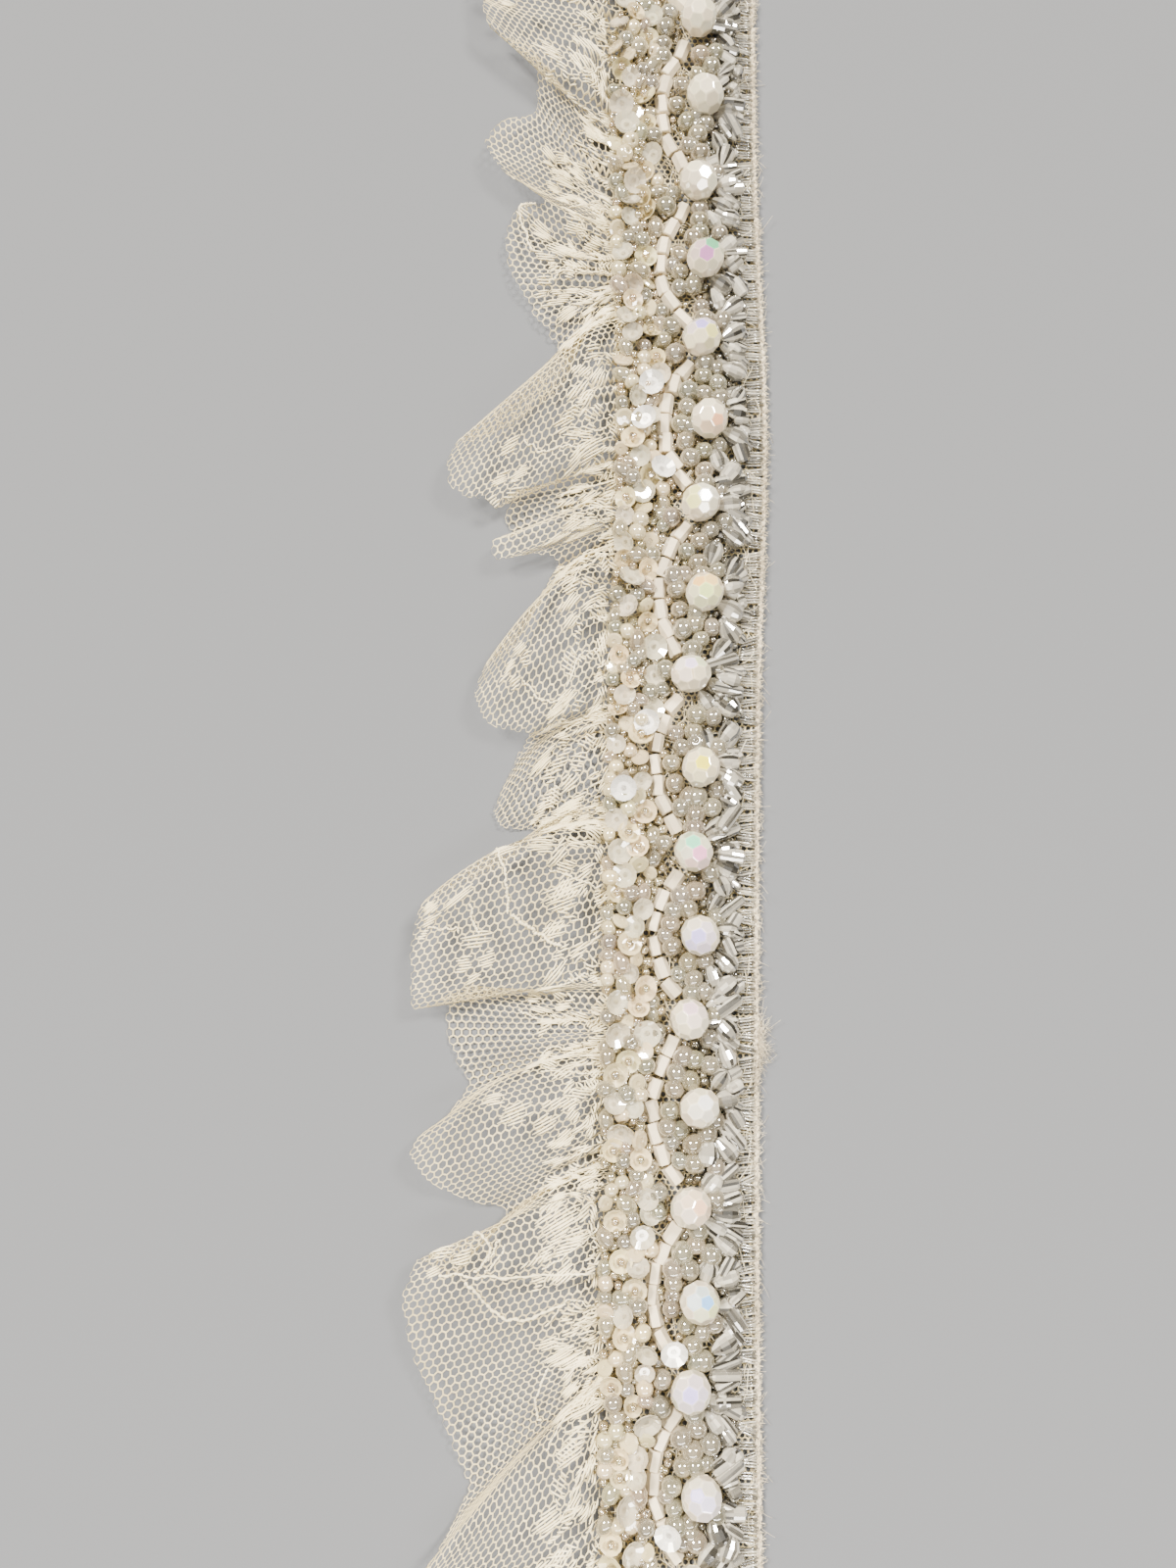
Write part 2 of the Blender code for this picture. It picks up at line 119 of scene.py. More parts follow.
def copies(template, places, frames, sizes):
    # the template's points turned, sized and set at each place, as one list
    points, faces = template
    places = np.asarray(places, dtype=float)
    sizes = np.broadcast_to(np.asarray(sizes, dtype=float), (len(places),))
    moved = np.einsum("nij,vj->nvi", frames, points) * sizes[:, None, None]
    moved = moved + places[:, None]
    step = np.arange(len(places))[:, None, None] * len(points)
    spread = [(f[None] + step).reshape(-1, f.shape[1]) for f in faces]
    return moved.reshape(-1, 3), spread


def joined(*parts):
    # several (points, faces) as one
    points, faces, first = [], [], 0
    for p, f in parts:
        points.append(p)
        faces += [g + first for g in f]
        first += len(p)
    return np.concatenate(points), faces


def threadTubes(paths, radius, sides):
    # round threads: each path (n, m, 3) gets a ring of points at each of its m places
    paths = np.asarray(paths, dtype=float)
    count, places = paths.shape[:2]
    tangent = unit(np.gradient(paths, axis=1))
    side = unit(np.cross(tangent, np.array([0.13, 0.07, 1.0])))
    up = np.cross(side, tangent)
    angle = np.arange(sides) * math.tau / sides
    radius = np.broadcast_to(np.asarray(radius, dtype=float), (count, places))
    ring = side[:, :, None] * np.cos(angle)[:, None] + up[:, :, None] * np.sin(angle)[:, None]
    points = paths[:, :, None] + ring * radius[:, :, None, None]
    one = gridFaces(places, sides)
    step = np.arange(count)[:, None, None] * places * sides
    caps = np.stack([np.arange(sides)[::-1], (places - 1) * sides + np.arange(sides)])
    return points.reshape(-1, 3), [
        (one[None] + step).reshape(-1, 4)[:, ::-1],
        (caps[None] + step).reshape(-1, sides)[:, ::-1],
    ]


def settled(places, radii, fixed, fixedRadii, left, right, rounds=60):
    # beads pushed apart in plan until neighbours only just touch: each round moves them
    # by a share of every overlap; the fixed ones stay put
    places = places.copy()
    everyRadius = np.concatenate([radii, fixedRadii])
    reach = radii[:, None] + everyRadius[None]
    for _ in range(rounds):
        every = np.concatenate([places[:, :2], fixed[:, :2]])
        gap = places[:, None, :2] - every[None]
        distance = np.maximum(np.linalg.norm(gap, axis=2), 1e-3)
        push = np.clip(reach - distance, 0.0, None) * 0.5
        push[np.arange(len(places)), np.arange(len(places))] = 0.0
        places[:, :2] += (gap / distance[..., None] * push[..., None]).sum(axis=1) * 0.6
        edge = sway(places[:, 1])
        places[:, 0] = np.clip(places[:, 0], left + radii + edge, right - radii + edge)
        places[:, 1] = np.clip(places[:, 1], -band["halfLength"] + radii, band["halfLength"] - radii)
    return places


def smoothStep(s):
    # 3 s ** 2 - 2 s ** 3, held between 0 and 1
    s = np.clip(s, 0.0, 1.0)
    return s * s * (3 - 2 * s)


def curveThrough(knots, values, at):
    # smooth cubic through the values at the knots
    slopes = np.gradient(values, knots)
    i = np.clip(np.searchsorted(knots, at, side="right") - 1, 0, len(knots) - 2)
    span = knots[i + 1] - knots[i]
    s = (at - knots[i]) / span
    start = (1 + 2 * s) * (1 - s) ** 2 * values[i] + s * (1 - s) ** 2 * span * slopes[i]
    end = s * s * (3 - 2 * s) * values[i + 1] + s * s * (s - 1) * span * slopes[i + 1]
    return start + end


def alongPath(path, distance):
    # points of a path at given distances from its start
    length = np.concatenate([[0.0], np.cumsum(np.linalg.norm(np.diff(path, axis=0), axis=1))])
    return np.stack([np.interp(distance, length, path[:, k]) for k in range(3)], axis=1)


def pathLength(path):
    # the sum of its steps
    return float(np.linalg.norm(np.diff(path, axis=0), axis=1).sum())


def directionsAt(path, distance):
    # from a little before each place to a little after it
    return unit(alongPath(path, distance + 0.3) - alongPath(path, distance - 0.3))


def addNode(tree, kind, values=None):
    # a new node with these values on its sockets
    node = tree.nodes.new(kind)
    for socket, value in (values or {}).items():
        node.inputs[socket].default_value = value
    return node


def connect(tree, *links):
    # each link runs from a node's output to the input of another
    for start, output, end, socket in links:
        tree.links.new(start.outputs[output], end.inputs[socket])


def newMaterial(name, colour, roughness, **sockets):
    # a plain finish, with a value on each of the named sockets
    material = bpy.data.materials.new(name)
    material.use_nodes = True
    shader = material.node_tree.nodes["Principled BSDF"]
    shader.inputs["Base Color"].default_value = (*colour, 1.0)
    shader.inputs["Roughness"].default_value = roughness
    for socket, value in sockets.items():
        shader.inputs[socket].default_value = value
    return material, material.node_tree, shader


def makeYarnGroup():
    # cotton yarn: a mottled colour and the height of its fine twisted fibres
    group = bpy.data.node_groups.new("yarnSurface", "ShaderNodeTree")
    for name, way, kind in (
        ("Colour", "INPUT", "Color"),
        ("Shade", "INPUT", "Color"),
        ("Fibre Scale", "INPUT", "Float"),
        ("Colour", "OUTPUT", "Color"),
        ("Height", "OUTPUT", "Float"),
    ):
        group.interface.new_socket(name, in_out=way, socket_type="NodeSocket" + kind)
    into = addNode(group, "NodeGroupInput")
    out = addNode(group, "NodeGroupOutput")
    coordinates = addNode(group, "ShaderNodeTexCoord")
    mottle = addNode(group, "ShaderNodeTexNoise", {"Scale": 90.0, "Detail": 3.0})
    fibre = addNode(group, "ShaderNodeTexNoise", {"Detail": 4.0, "Roughness": 0.65})
    ramp = addNode(group, "ShaderNodeMapRange", {"From Min": 0.35, "From Max": 0.65})
    mix = addNode(group, "ShaderNodeMix")
    mix.data_type = "RGBA"
    connect(
        group,
        (coordinates, "Object", mottle, "Vector"),
        (coordinates, "Object", fibre, "Vector"),
        (into, "Fibre Scale", fibre, "Scale"),
        (mottle, "Fac", ramp, "Value"),
        (ramp, "Result", mix, "Factor"),
        (into, "Shade", mix, "A"),
        (into, "Colour", mix, "B"),
        (mix, "Result", out, "Colour"),
        (fibre, "Fac", out, "Height"),
    )
    return group


yarnGroup = makeYarnGroup()


def yarnMaterial(name, colour, shade, fibreScale, roughness, bump, sheen):
    # the yarn's surface in one material, mottled between its colour and its shade
    material, tree, shader = newMaterial(name, colour, roughness, **{"Sheen Weight": sheen})
    yarn = tree.nodes.new("ShaderNodeGroup")
    yarn.node_tree = yarnGroup
    yarn.inputs["Colour"].default_value = (*colour, 1.0)
    yarn.inputs["Shade"].default_value = (*shade, 1.0)
    yarn.inputs["Fibre Scale"].default_value = fibreScale
    relief = addNode(tree, "ShaderNodeBump", {"Strength": bump, "Distance": 0.0001})
    connect(
        tree,
        (yarn, "Colour", shader, "Base Color"),
        (yarn, "Height", relief, "Height"),
        (relief, "Normal", shader, "Normal"),
    )
    return material


def tintedMaterial(name, roughness, rim=1.0, **sockets):
    # beads and sequins: each one's own tint times a faint cloudiness; where rim is not 1 a
    # painted rim shade scales the colour from 1 to rim as the surface turns edge on
    material, tree, shader = newMaterial(name, (0.8, 0.8, 0.8), roughness, **sockets)
    tint = addNode(tree, "ShaderNodeVertexColor")
    tint.layer_name = "tint"
    coordinates = addNode(tree, "ShaderNodeTexCoord")
    cloud = addNode(tree, "ShaderNodeTexNoise", {"Scale": 700.0, "Detail": 2.0})
    shade = addNode(tree, "ShaderNodeMapRange", {"To Min": 0.88, "To Max": 1.06})
    rough = addNode(tree, "ShaderNodeMapRange", {"To Min": roughness * 0.7, "To Max": roughness * 1.5})
    shaded = addNode(tree, "ShaderNodeVectorMath")
    shaded.operation = "SCALE"
    connect(
        tree,
        (coordinates, "Object", cloud, "Vector"),
        (cloud, "Fac", shade, "Value"),
        (cloud, "Fac", rough, "Value"),
        (tint, "Color", shaded, 0),
        (shaded, "Vector", shader, "Base Color"),
        (rough, "Result", shader, "Roughness"),
    )
    if rim == 1.0:
        connect(tree, (shade, "Result", shaded, "Scale"))
        return material
    # painted rim shade: darker edges where rim is below 1, a painted bright ring where it is above 1
    facing = addNode(tree, "ShaderNodeLayerWeight")
    turned = {"From Min": 0.3, "From Max": 0.9, "To Min": 1.0, "To Max": rim}
    edge = addNode(tree, "ShaderNodeMapRange", turned)
    paintedRimShade = addNode(tree, "ShaderNodeMath")
    paintedRimShade.operation = "MULTIPLY"
    connect(
        tree,
        (facing, "Facing", edge, "Value"),
        (edge, "Result", paintedRimShade, 0),
        (shade, "Result", paintedRimShade, 1),
        (paintedRimShade, "Value", shaded, "Scale"),
    )
    return material


# colour, shade, scale of the fibres, roughness, height of the bump, sheen
netThread = yarnMaterial("netThread", (0.68, 0.57, 0.32), (0.54, 0.44, 0.23), 2600.0, 0.75, 0.3, 0.15)
satinThread = yarnMaterial("satinThread", (0.94, 0.83, 0.54), (0.80, 0.69, 0.41), 3200.0, 0.36, 0.35, 0.25)
cordYarn = yarnMaterial("cordYarn", (0.72, 0.62, 0.44), (0.50, 0.42, 0.28), 3600.0, 0.9, 0.8, 0.3)
sewingThread = yarnMaterial("sewingThread", (0.80, 0.71, 0.50), (0.60, 0.52, 0.34), 3000.0, 0.6, 0.3, 0.1)
shine = {"Coat Weight": 1.0, "Coat Roughness": 0.03, "Coat IOR": 2.5}
# the number after roughness is the rim: below 1 a painted dark edge, above 1 a painted bright ring
opaqueGlass = tintedMaterial("opaqueGlass", 0.25, 0.7, **{"Coat Weight": 0.8, "Coat Roughness": 0.06})
milkGlass = tintedMaterial("milkGlass", 0.16, 0.85, **shine)
creamGlass = tintedMaterial("creamGlass", 0.14, 0.5, **{"Transmission Weight": 0.15}, **shine)
# softGlass: a painted bright ring round the edge of each ball, over its dark tint
softGlass = tintedMaterial("softGlass", 0.06, 2.1, **{"Transmission Weight": 0.5}, **shine)
rodGlass = tintedMaterial("rodGlass", 0.05, 0.6, **{"Transmission Weight": 0.4}, **shine)
clearGlass = tintedMaterial("clearGlass", 0.05, 0.35, **{"Transmission Weight": 0.4}, **shine)
seedGlass = tintedMaterial("seedGlass", 0.04, 0.6, **{"Transmission Weight": 0.85}, **shine)
sequinFilm = tintedMaterial("sequinFilm", 0.24, **{"Coat Weight": 0.8, "Coat Roughness": 0.08})
silverLining = tintedMaterial("silverLining", 0.16, **{"Metallic": 1.0})
mirrorFilm = tintedMaterial("mirrorFilm", 0.25, **{"Metallic": 0.3}, **shine)
print("materials ready")

band = {
    "halfLength": 129.0,
    "sway": (  # y, how far the band strays sideways there
        (-129.0, -1.9),
        (-90.0, -1.8),
        (-45.0, -1.4),
        (5.0, -0.5),
        (52.0, 1.1),
        (86.0, 0.1),
        (129.0, 0.0),
    ),
    "netTop": 0.75,  # the plane that the beads rest on
}
swayTable = np.array(band["sway"])


def sway(y):
    # how far the band strays sideways at y, read smoothly from its table
    return curveThrough(swayTable[:, 0], swayTable[:, 1], np.asarray(y, dtype=float))


facetNodes = ["facet_bead_%02d" % n for n in range(1, 20)]
facetPlace = []
for node in facetNodes:
    low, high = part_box(node)
    facetPlace.append([(low[k] + high[k]) / 2.0 / mm for k in range(3)])
facetPlace = np.array(facetPlace)


def own(piece, slot, *nodes):
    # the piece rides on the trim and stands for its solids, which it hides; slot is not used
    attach(piece, "root")
    if nodes:
        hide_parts(*nodes)
    return piece


def tints(count, perCopy, colour, spread, seed):
    # one colour for each copy, repeated over its points
    pick = np.random.default_rng(seed)
    shade = 1.0 + spread * pick.uniform(-1.0, 1.0, (count, 1))
    warm = 1.0 + 0.35 * spread * pick.uniform(-1.0, 1.0, (count, 3))
    one = np.clip(np.asarray(colour)[None] * shade * warm, 0.0, 1.0)
    one = np.concatenate([one, np.ones((count, 1))], axis=1)
    return np.repeat(one, perCopy, axis=0)


def paintedStreaks(count, rows, sides, colour, paintedShades, seed, least=0.92):
    # painted highlights and shade: each flat side of each cut piece takes one of the shades,
    # and each stretch of it a random factor from least to 1; the two ends take the mean
    pick = np.random.default_rng(seed)
    shade = pick.choice(paintedShades, (count, 1, sides, 1, 1))
    shade = shade * pick.uniform(least, 1.0, (count, rows - 1, sides, 1, 1))
    walls = np.ones((count, rows - 1, sides, 4, 4))
    walls[..., :3] = shade * np.asarray(colour)
    ends = np.ones((count, 2 * sides, 4))
    ends[..., :3] = shade.mean(axis=(1, 2)).reshape(-1, 1, 1) * np.asarray(colour)
    return np.concatenate([walls.reshape(-1, 4), ends.reshape(-1, 4)])


lace = {
    "gatherX": 4.0,
    "heading": 3.6,  # flat strip beside the seam, under the beads
    "rise": 5.0,  # distance from the seam over which a fold reaches its height
    "seamZ": 1.5,
    "lowest": 0.25,
    "cell": 1.27,
    "opening": 0.82,
    "ridge": 0.11,
    "gatherHeight": 0.62,
    "gatherSlant": 0.24,
    "gatherFade": 14.0,
    "gatherPitch": 2.5,
    "ripple": 0.22,
    "flatWidth": 31.0,
    "lines": 3000,  # fold lines worked out between those of the table
    "stepAlong": 0.3,  # steps of the grid over the flat cloth, and how far out it goes
    "stepOut": 0.4,
    "widest": 34.0,
    "ease": (0.86, 1.0, 0.94),  # at the seam, three quarters of the way out and the free edge
    # y on the seam, y on the free edge, reach, height of the middle, sweep
    "folds": (
        # first lobe, its near side folded under
        (129.0, 129.0, 24.5, 2.6, 1.0),
        (119.0, 122.0, 22.7, 3.6, 1.0),
        (108.0, 117.6, 21.6, 4.4, 1.1),
        (101.0, 114.8, 20.9, 4.7, 1.3),
        (99.0, 114.0, 20.0, 3.2, 1.4),
        (97.0, 112.0, 14.0, 1.9, 1.4),
        # second lobe, an open fan
        (94.7, 105.0, 13.0, 0.5, 1.4),
        (89.6, 101.4, 13.5, 0.6, 1.3),
        (86.4, 99.4, 18.6, 1.4, 1.2),
        (83.6, 94.8, 21.2, 2.8, 1.1),
        (81.0, 89.8, 18.0, 3.4, 1.2),
        (79.2, 85.0, 11.5, 3.3, 1.3),
        # its lower half, coming out from under the fan
        (77.2, 84.6, 16.0, 1.6, 2.0),
        (75.2, 80.6, 17.8, 1.4, 1.3),
        (73.2, 75.5, 17.4, 1.6, 1.0),
        (71.4, 69.0, 14.3, 1.2, 1.0),
        (70.2, 59.1, 8.2, 0.6, 1.8),
        # third lobe, a long cone with its far side folded under
        (68.6, 53.8, 10.3, 1.7, 1.9),
        (67.0, 47.2, 19.5, 2.6, 1.6),
        (65.4, 46.0, 24.0, 3.5, 1.3),
        (63.4, 45.0, 25.0, 4.7, 1.2),
        (59.0, 42.4, 26.4, 4.6, 1.1),
        (54.0, 39.4, 26.2, 3.8, 1.1),
        (49.8, 37.2, 24.0, 3.7, 1.1),
        (46.2, 36.4, 20.6, 3.9, 1.1),
        (44.4, 35.4, 18.8, 2.5, 1.1),
        (42.8, 38.0, 17.4, 1.8, 1.1),
        (41.4, 38.2, 15.8, 0.5, 1.1),
        (40.2, 35.0, 17.6, 0.5, 1.0),
        (39.2, 31.8, 16.6, 0.5, 1.0),
        # fourth lobe, a narrow flute
        (38.2, 30.8, 18.4, 1.9, 1.1),
        (36.8, 29.8, 19.6, 3.8, 1.0),
        (35.0, 27.2, 18.6, 3.4, 1.0),
        (33.6, 28.4, 13.0, 2.6, 1.0),
        (32.2, 27.4, 9.5, 1.4, 1.2),
        (30.8, 25.2, 10.6, 0.5, 1.2),
        # fifth lobe, rounded, with a deep fold along its far side
        (29.4, 15.8, 15.0, 1.9, 2.4),
        (28.2, 12.6, 17.6, 2.5, 2.3),
        (26.8, 11.2, 19.6, 3.5, 2.2),
        (25.0, 10.2, 20.4, 4.7, 2.1),
        (20.5, 6.0, 22.0, 3.9, 1.4),
        (15.0, 2.6, 20.6, 3.2, 1.1),
        (11.2, 0.9, 17.0, 3.1, 1.0),
        (9.2, 0.4, 14.0, 3.1, 1.0),
        # sixth lobe, low, coming out from under the fifth
        (7.2, -0.2, 13.8, 1.8, 1.0),
        (5.2, 0.4, 14.0, 0.5, 1.0),
        (3.4, -5.5, 16.8, 0.5, 2.2),
        (1.2, -10.6, 19.0, 0.6, 1.8),
        (-2.4, -12.8, 18.8, 0.8, 1.2),
        (-6.0, -13.8, 16.8, 0.6, 1.0),
        (-9.0, -14.4, 12.1, 0.6, 1.0),
        # seventh lobe, the broadest, both sides folded under
        (-10.8, -19.3, 17.3, 2.0, 2.7),
        (-12.6, -22.0, 23.0, 2.8, 2.2),
        (-14.0, -24.4, 28.4, 3.5, 2.6),
        (-16.0, -26.4, 29.8, 4.7, 2.4),
        (-20.6, -31.0, 31.0, 4.3, 1.2),
        (-27.0, -36.0, 31.0, 3.7, 1.0),
        (-33.0, -39.6, 30.8, 3.8, 1.0),
        (-36.2, -40.6, 29.5, 2.8, 1.0),
        (-38.4, -37.4, 23.0, 1.9, 1.6),
        # eighth lobe, lying low under the seventh
        (-40.7, -38.0, 22.5, 0.5, 1.5),
        (-42.4, -39.4, 25.4, 0.5, 1.2),
        (-43.8, -44.0, 26.0, 0.6, 1.0),
        (-45.2, -48.4, 24.6, 0.6, 1.0),
        (-46.4, -52.0, 22.8, 0.5, 1.2),
        # ninth lobe
        (-48.0, -57.0, 26.0, 1.9, 2.6),
        (-49.8, -58.8, 29.0, 3.5, 2.1),
        (-51.8, -61.0, 30.6, 4.6, 1.9),
        (-54.8, -63.6, 30.0, 4.1, 1.2),
        (-57.8, -66.8, 26.0, 3.0, 1.0),
        (-60.6, -69.0, 21.0, 1.2, 1.0),
        (-62.8, -70.7, 16.7, 0.6, 1.1),
        # tenth lobe, long and open
        (-64.4, -77.4, 22.5, 2.0, 2.3),
        (-65.8, -79.6, 25.0, 2.5, 2.2),
        (-67.4, -76.8, 29.0, 3.5, 1.6),
        (-69.4, -77.6, 30.0, 4.7, 1.5),
        (-74.0, -82.0, 31.4, 4.3, 1.0),
        (-80.0, -88.5, 30.6, 3.5, 1.0),
        (-86.0, -95.0, 28.0, 2.6, 1.0),
        (-90.0, -102.5, 24.8, 1.3, 1.0),
        (-93.0, -109.6, 22.4, 0.5, 1.0),
        # last lobe, its far side folded under
        (-94.8, -117.0, 26.0, 1.9, 1.4),
        (-96.4, -120.6, 28.5, 2.6, 1.5),
        (-98.2, -121.6, 30.0, 3.6, 1.5),
        (-100.4, -122.4, 30.6, 4.7, 1.4),
        (-108.0, -124.4, 30.0, 4.1, 1.1),
        (-118.0, -127.0, 27.0, 3.2, 1.0),
        (-129.0, -129.0, 25.0, 2.4, 1.0),
    ),
}
foldTable = np.array(lace["folds"])


def foldLines():
    # each fold line runs y = root + (edge - root) * v ** sweep while x falls by v * reach;
    # its height goes over from the seam's to its own near the seam
    knots = np.arange(len(foldTable), dtype=float)
    at = np.linspace(0.0, len(foldTable) - 1.0, lace["lines"])
    root = np.interp(at, knots, foldTable[:, 0])
    edge, reach, height, sweep = (curveThrough(knots, foldTable[:, k], at) for k in range(1, 5))
    height = np.maximum(height, lace["lowest"])
    v = np.linspace(0.0, 1.0, 61)
    distance = v[None] * reach[:, None]
    x = lace["gatherX"] - distance + sway(root)[:, None] * (1.0 - v[None]) ** 2
    y = root[:, None] + (edge - root)[:, None] * v[None] ** np.maximum(sweep, 0.8)[:, None]
    z = lace["seamZ"] + (height[:, None] - lace["seamZ"]) * smoothStep(distance / lace["rise"])
    return at, np.stack([x, y, z], axis=-1)


def flatGrid():
    # the fold lines read at even steps of the flat cloth: u along the strip, w out from the seam
    at, lines = foldLines()
    step = np.linalg.norm(np.diff(lines, axis=1), axis=2)
    out = np.concatenate([np.zeros((len(at), 1)), np.cumsum(step, axis=1)], axis=1)
    # the net gives a little: its length there is that of the longest eased course
    spread = np.linalg.norm(np.diff(lines[:, [0, 45, 60]], axis=0), axis=2) * lace["ease"]
    along = np.concatenate([[0.0], np.cumsum(spread.max(axis=1))])
    u = np.arange(0.0, along[-1], lace["stepAlong"])
    w = np.arange(-lace["heading"], lace["widest"], lace["stepOut"])
    line = np.interp(u, along, at) / at[1]
    low = np.clip(line, 0, len(at) - 2).astype(int)
    part = (line - low)[:, None, None]
    lines = lines[low] * (1 - part) + lines[low + 1] * part
    out = out[low] * (1 - part[..., 0]) + out[low + 1] * part[..., 0]
    grid = np.zeros((len(u), len(w), 3))
    for n in range(len(u)):  # one fold line at a time
        for k in range(3):
            grid[n, :, k] = np.interp(w, out[n], lines[n, :, k])
    seam = int(np.argmin(np.abs(w)))
    heading = w < 0.0
    grid[:, heading, 0] = grid[:, [seam], 0] - w[None, heading]
    return u, w, grid, out[:, -1]


def addPleats(u, w, grid):
    # small pleats die out away from the seam, each at its own distance, and further out
    # a slow ripple takes their place
    y = grid[:, [int(np.argmin(np.abs(w)))], 1]
    u, w = u[:, None], w[None]
    fadeLength = lace["gatherFade"] * (0.75 + 0.3 * np.sin(y * 0.37) + 0.25 * np.sin(y * 1.13 + 1.0))
    fade = smoothStep(1.0 - np.abs(w) / fadeLength) * smoothStep(1.0 + w / 5.0)
    phase = y * math.tau / lace["gatherPitch"] + 1.1 * np.sin(y * 0.61) + 0.7 * np.sin(y * 0.23) + 0.06 * w
    depth = fade * (1.0 + 0.5 * np.sin(y * 0.71 + 0.4) + 0.35 * np.sin(y * 1.9))
    grid[:, :, 2] += lace["gatherHeight"] * depth * np.sin(phase)
    grid[:, :, 1] += lace["gatherSlant"] * depth * np.sin(2.0 * phase)
    ripple = np.sin(u * 0.83 + 1.3 * np.sin(w * 0.21)) + 0.6 * np.sin(u * 0.31 + w * 0.35)
    grid[:, :, 2] += lace["ripple"] * (1 - fade) * smoothStep(w / 6.0) * ripple
    grid[:, :, 2] = np.maximum(grid[:, :, 2], lace["lowest"])


laceU, laceW, laceGrid, laceFree = flatGrid()
addPleats(laceU, laceW, laceGrid)
laceNormal = unit(np.cross(np.gradient(laceGrid, axis=1), np.gradient(laceGrid, axis=0)))
print("lace surface", len(laceU), "by", len(laceW), "flat length", round(laceU[-1], 1))


def onLace(u, w, lift=0.0):
    # place on the cloth for flat coordinates, lifted along its normal
    a = np.clip((u - laceU[0]) / lace["stepAlong"], 0, len(laceU) - 1.001)
    b = np.clip((w - laceW[0]) / lace["stepOut"], 0, len(laceW) - 1.001)
    i, j = a.astype(int), b.astype(int)
    p, q = (a - i)[..., None], (b - j)[..., None]
    place = 0.0
    for di, dj, share in ((0, 0, (1 - p) * (1 - q)), (1, 0, p * (1 - q)), (0, 1, (1 - p) * q), (1, 1, p * q)):
        place = place + share * (laceGrid[i + di, j + dj] + lift * laceNormal[i + di, j + dj])
    return place


rowShare = 0.8660254  # the rows of a honeycomb lie half the square root of 3 of a cell apart


def hexCells(width, height, cell):
    # centres of a honeycomb whose rows run along the height, and its corner offsets
    rows = int(width / (cell * rowShare)) + 1
    columns = int(height / cell) + 1
    r, c = np.meshgrid(np.arange(rows), np.arange(columns), indexing="ij")
    centres = np.stack([r * cell * rowShare, (c + 0.5 * (r % 2)) * cell], axis=-1).reshape(-1, 2)
    angle = np.arange(6) * math.tau / 6
    corners = np.stack([np.cos(angle), np.sin(angle)], axis=-1) * cell / math.sqrt(3.0)
    return centres, corners


def netFrames(centres, corners, opening):
    # each cell is a six-sided ring: shared outer corners, own inner ones
    outer = centres[:, None] + corners[None]
    inner = centres[:, None] + corners[None] * opening
    key = np.round(outer.reshape(-1, 2) * 50.0).astype(np.int64)
    code = key[:, 0] * 1000003 + key[:, 1]
    _, first, back = np.unique(code, return_index=True, return_inverse=True)
    shared = outer.reshape(-1, 2)[first]
    o = back.reshape(-1, 6)
    n = len(shared) + np.arange(len(centres) * 6).reshape(-1, 6)
    nextO, nextN = np.roll(o, -1, axis=1), np.roll(n, -1, axis=1)
    faces = np.stack([o, nextO, nextN, n], axis=-1).reshape(-1, 4)
    flat = np.concatenate([shared, inner.reshape(-1, 2)])
    ridge = np.concatenate([np.ones(len(shared)), np.zeros(len(centres) * 6)])
    return flat, faces, ridge


def makeLaceNet():
    # a honeycomb over the flat cloth, bent to its folds; the corners that cells share
    # stand up as a ridge along the threads
    depth = laceW[-1] + lace["heading"]
    centres, corners = hexCells(laceU[-1], depth, lace["cell"])
    centres = centres + (0.0, -lace["heading"])
    inside = np.interp(centres[:, 0], laceU, laceFree) > centres[:, 1] + 0.1
    centres = centres[inside & (centres[:, 0] > 0.5) & (centres[:, 0] < laceU[-1] - 0.5)]
    flat, faces, ridge = netFrames(centres, corners, lace["opening"])
    base = onLace(flat[:, 0], flat[:, 1])
    raised = onLace(flat[:, 0], flat[:, 1], 1.0) - base
    points = base + raised * (ridge * lace["ridge"])[:, None]
    net = putMesh("laceNet", points, [faces[:, ::-1]], netThread)
    print("lace net cells", len(centres))
    return net, len(centres)


laceNet, laceCells = makeLaceNet()
own(laceNet, "lace", "lace_ruffle")

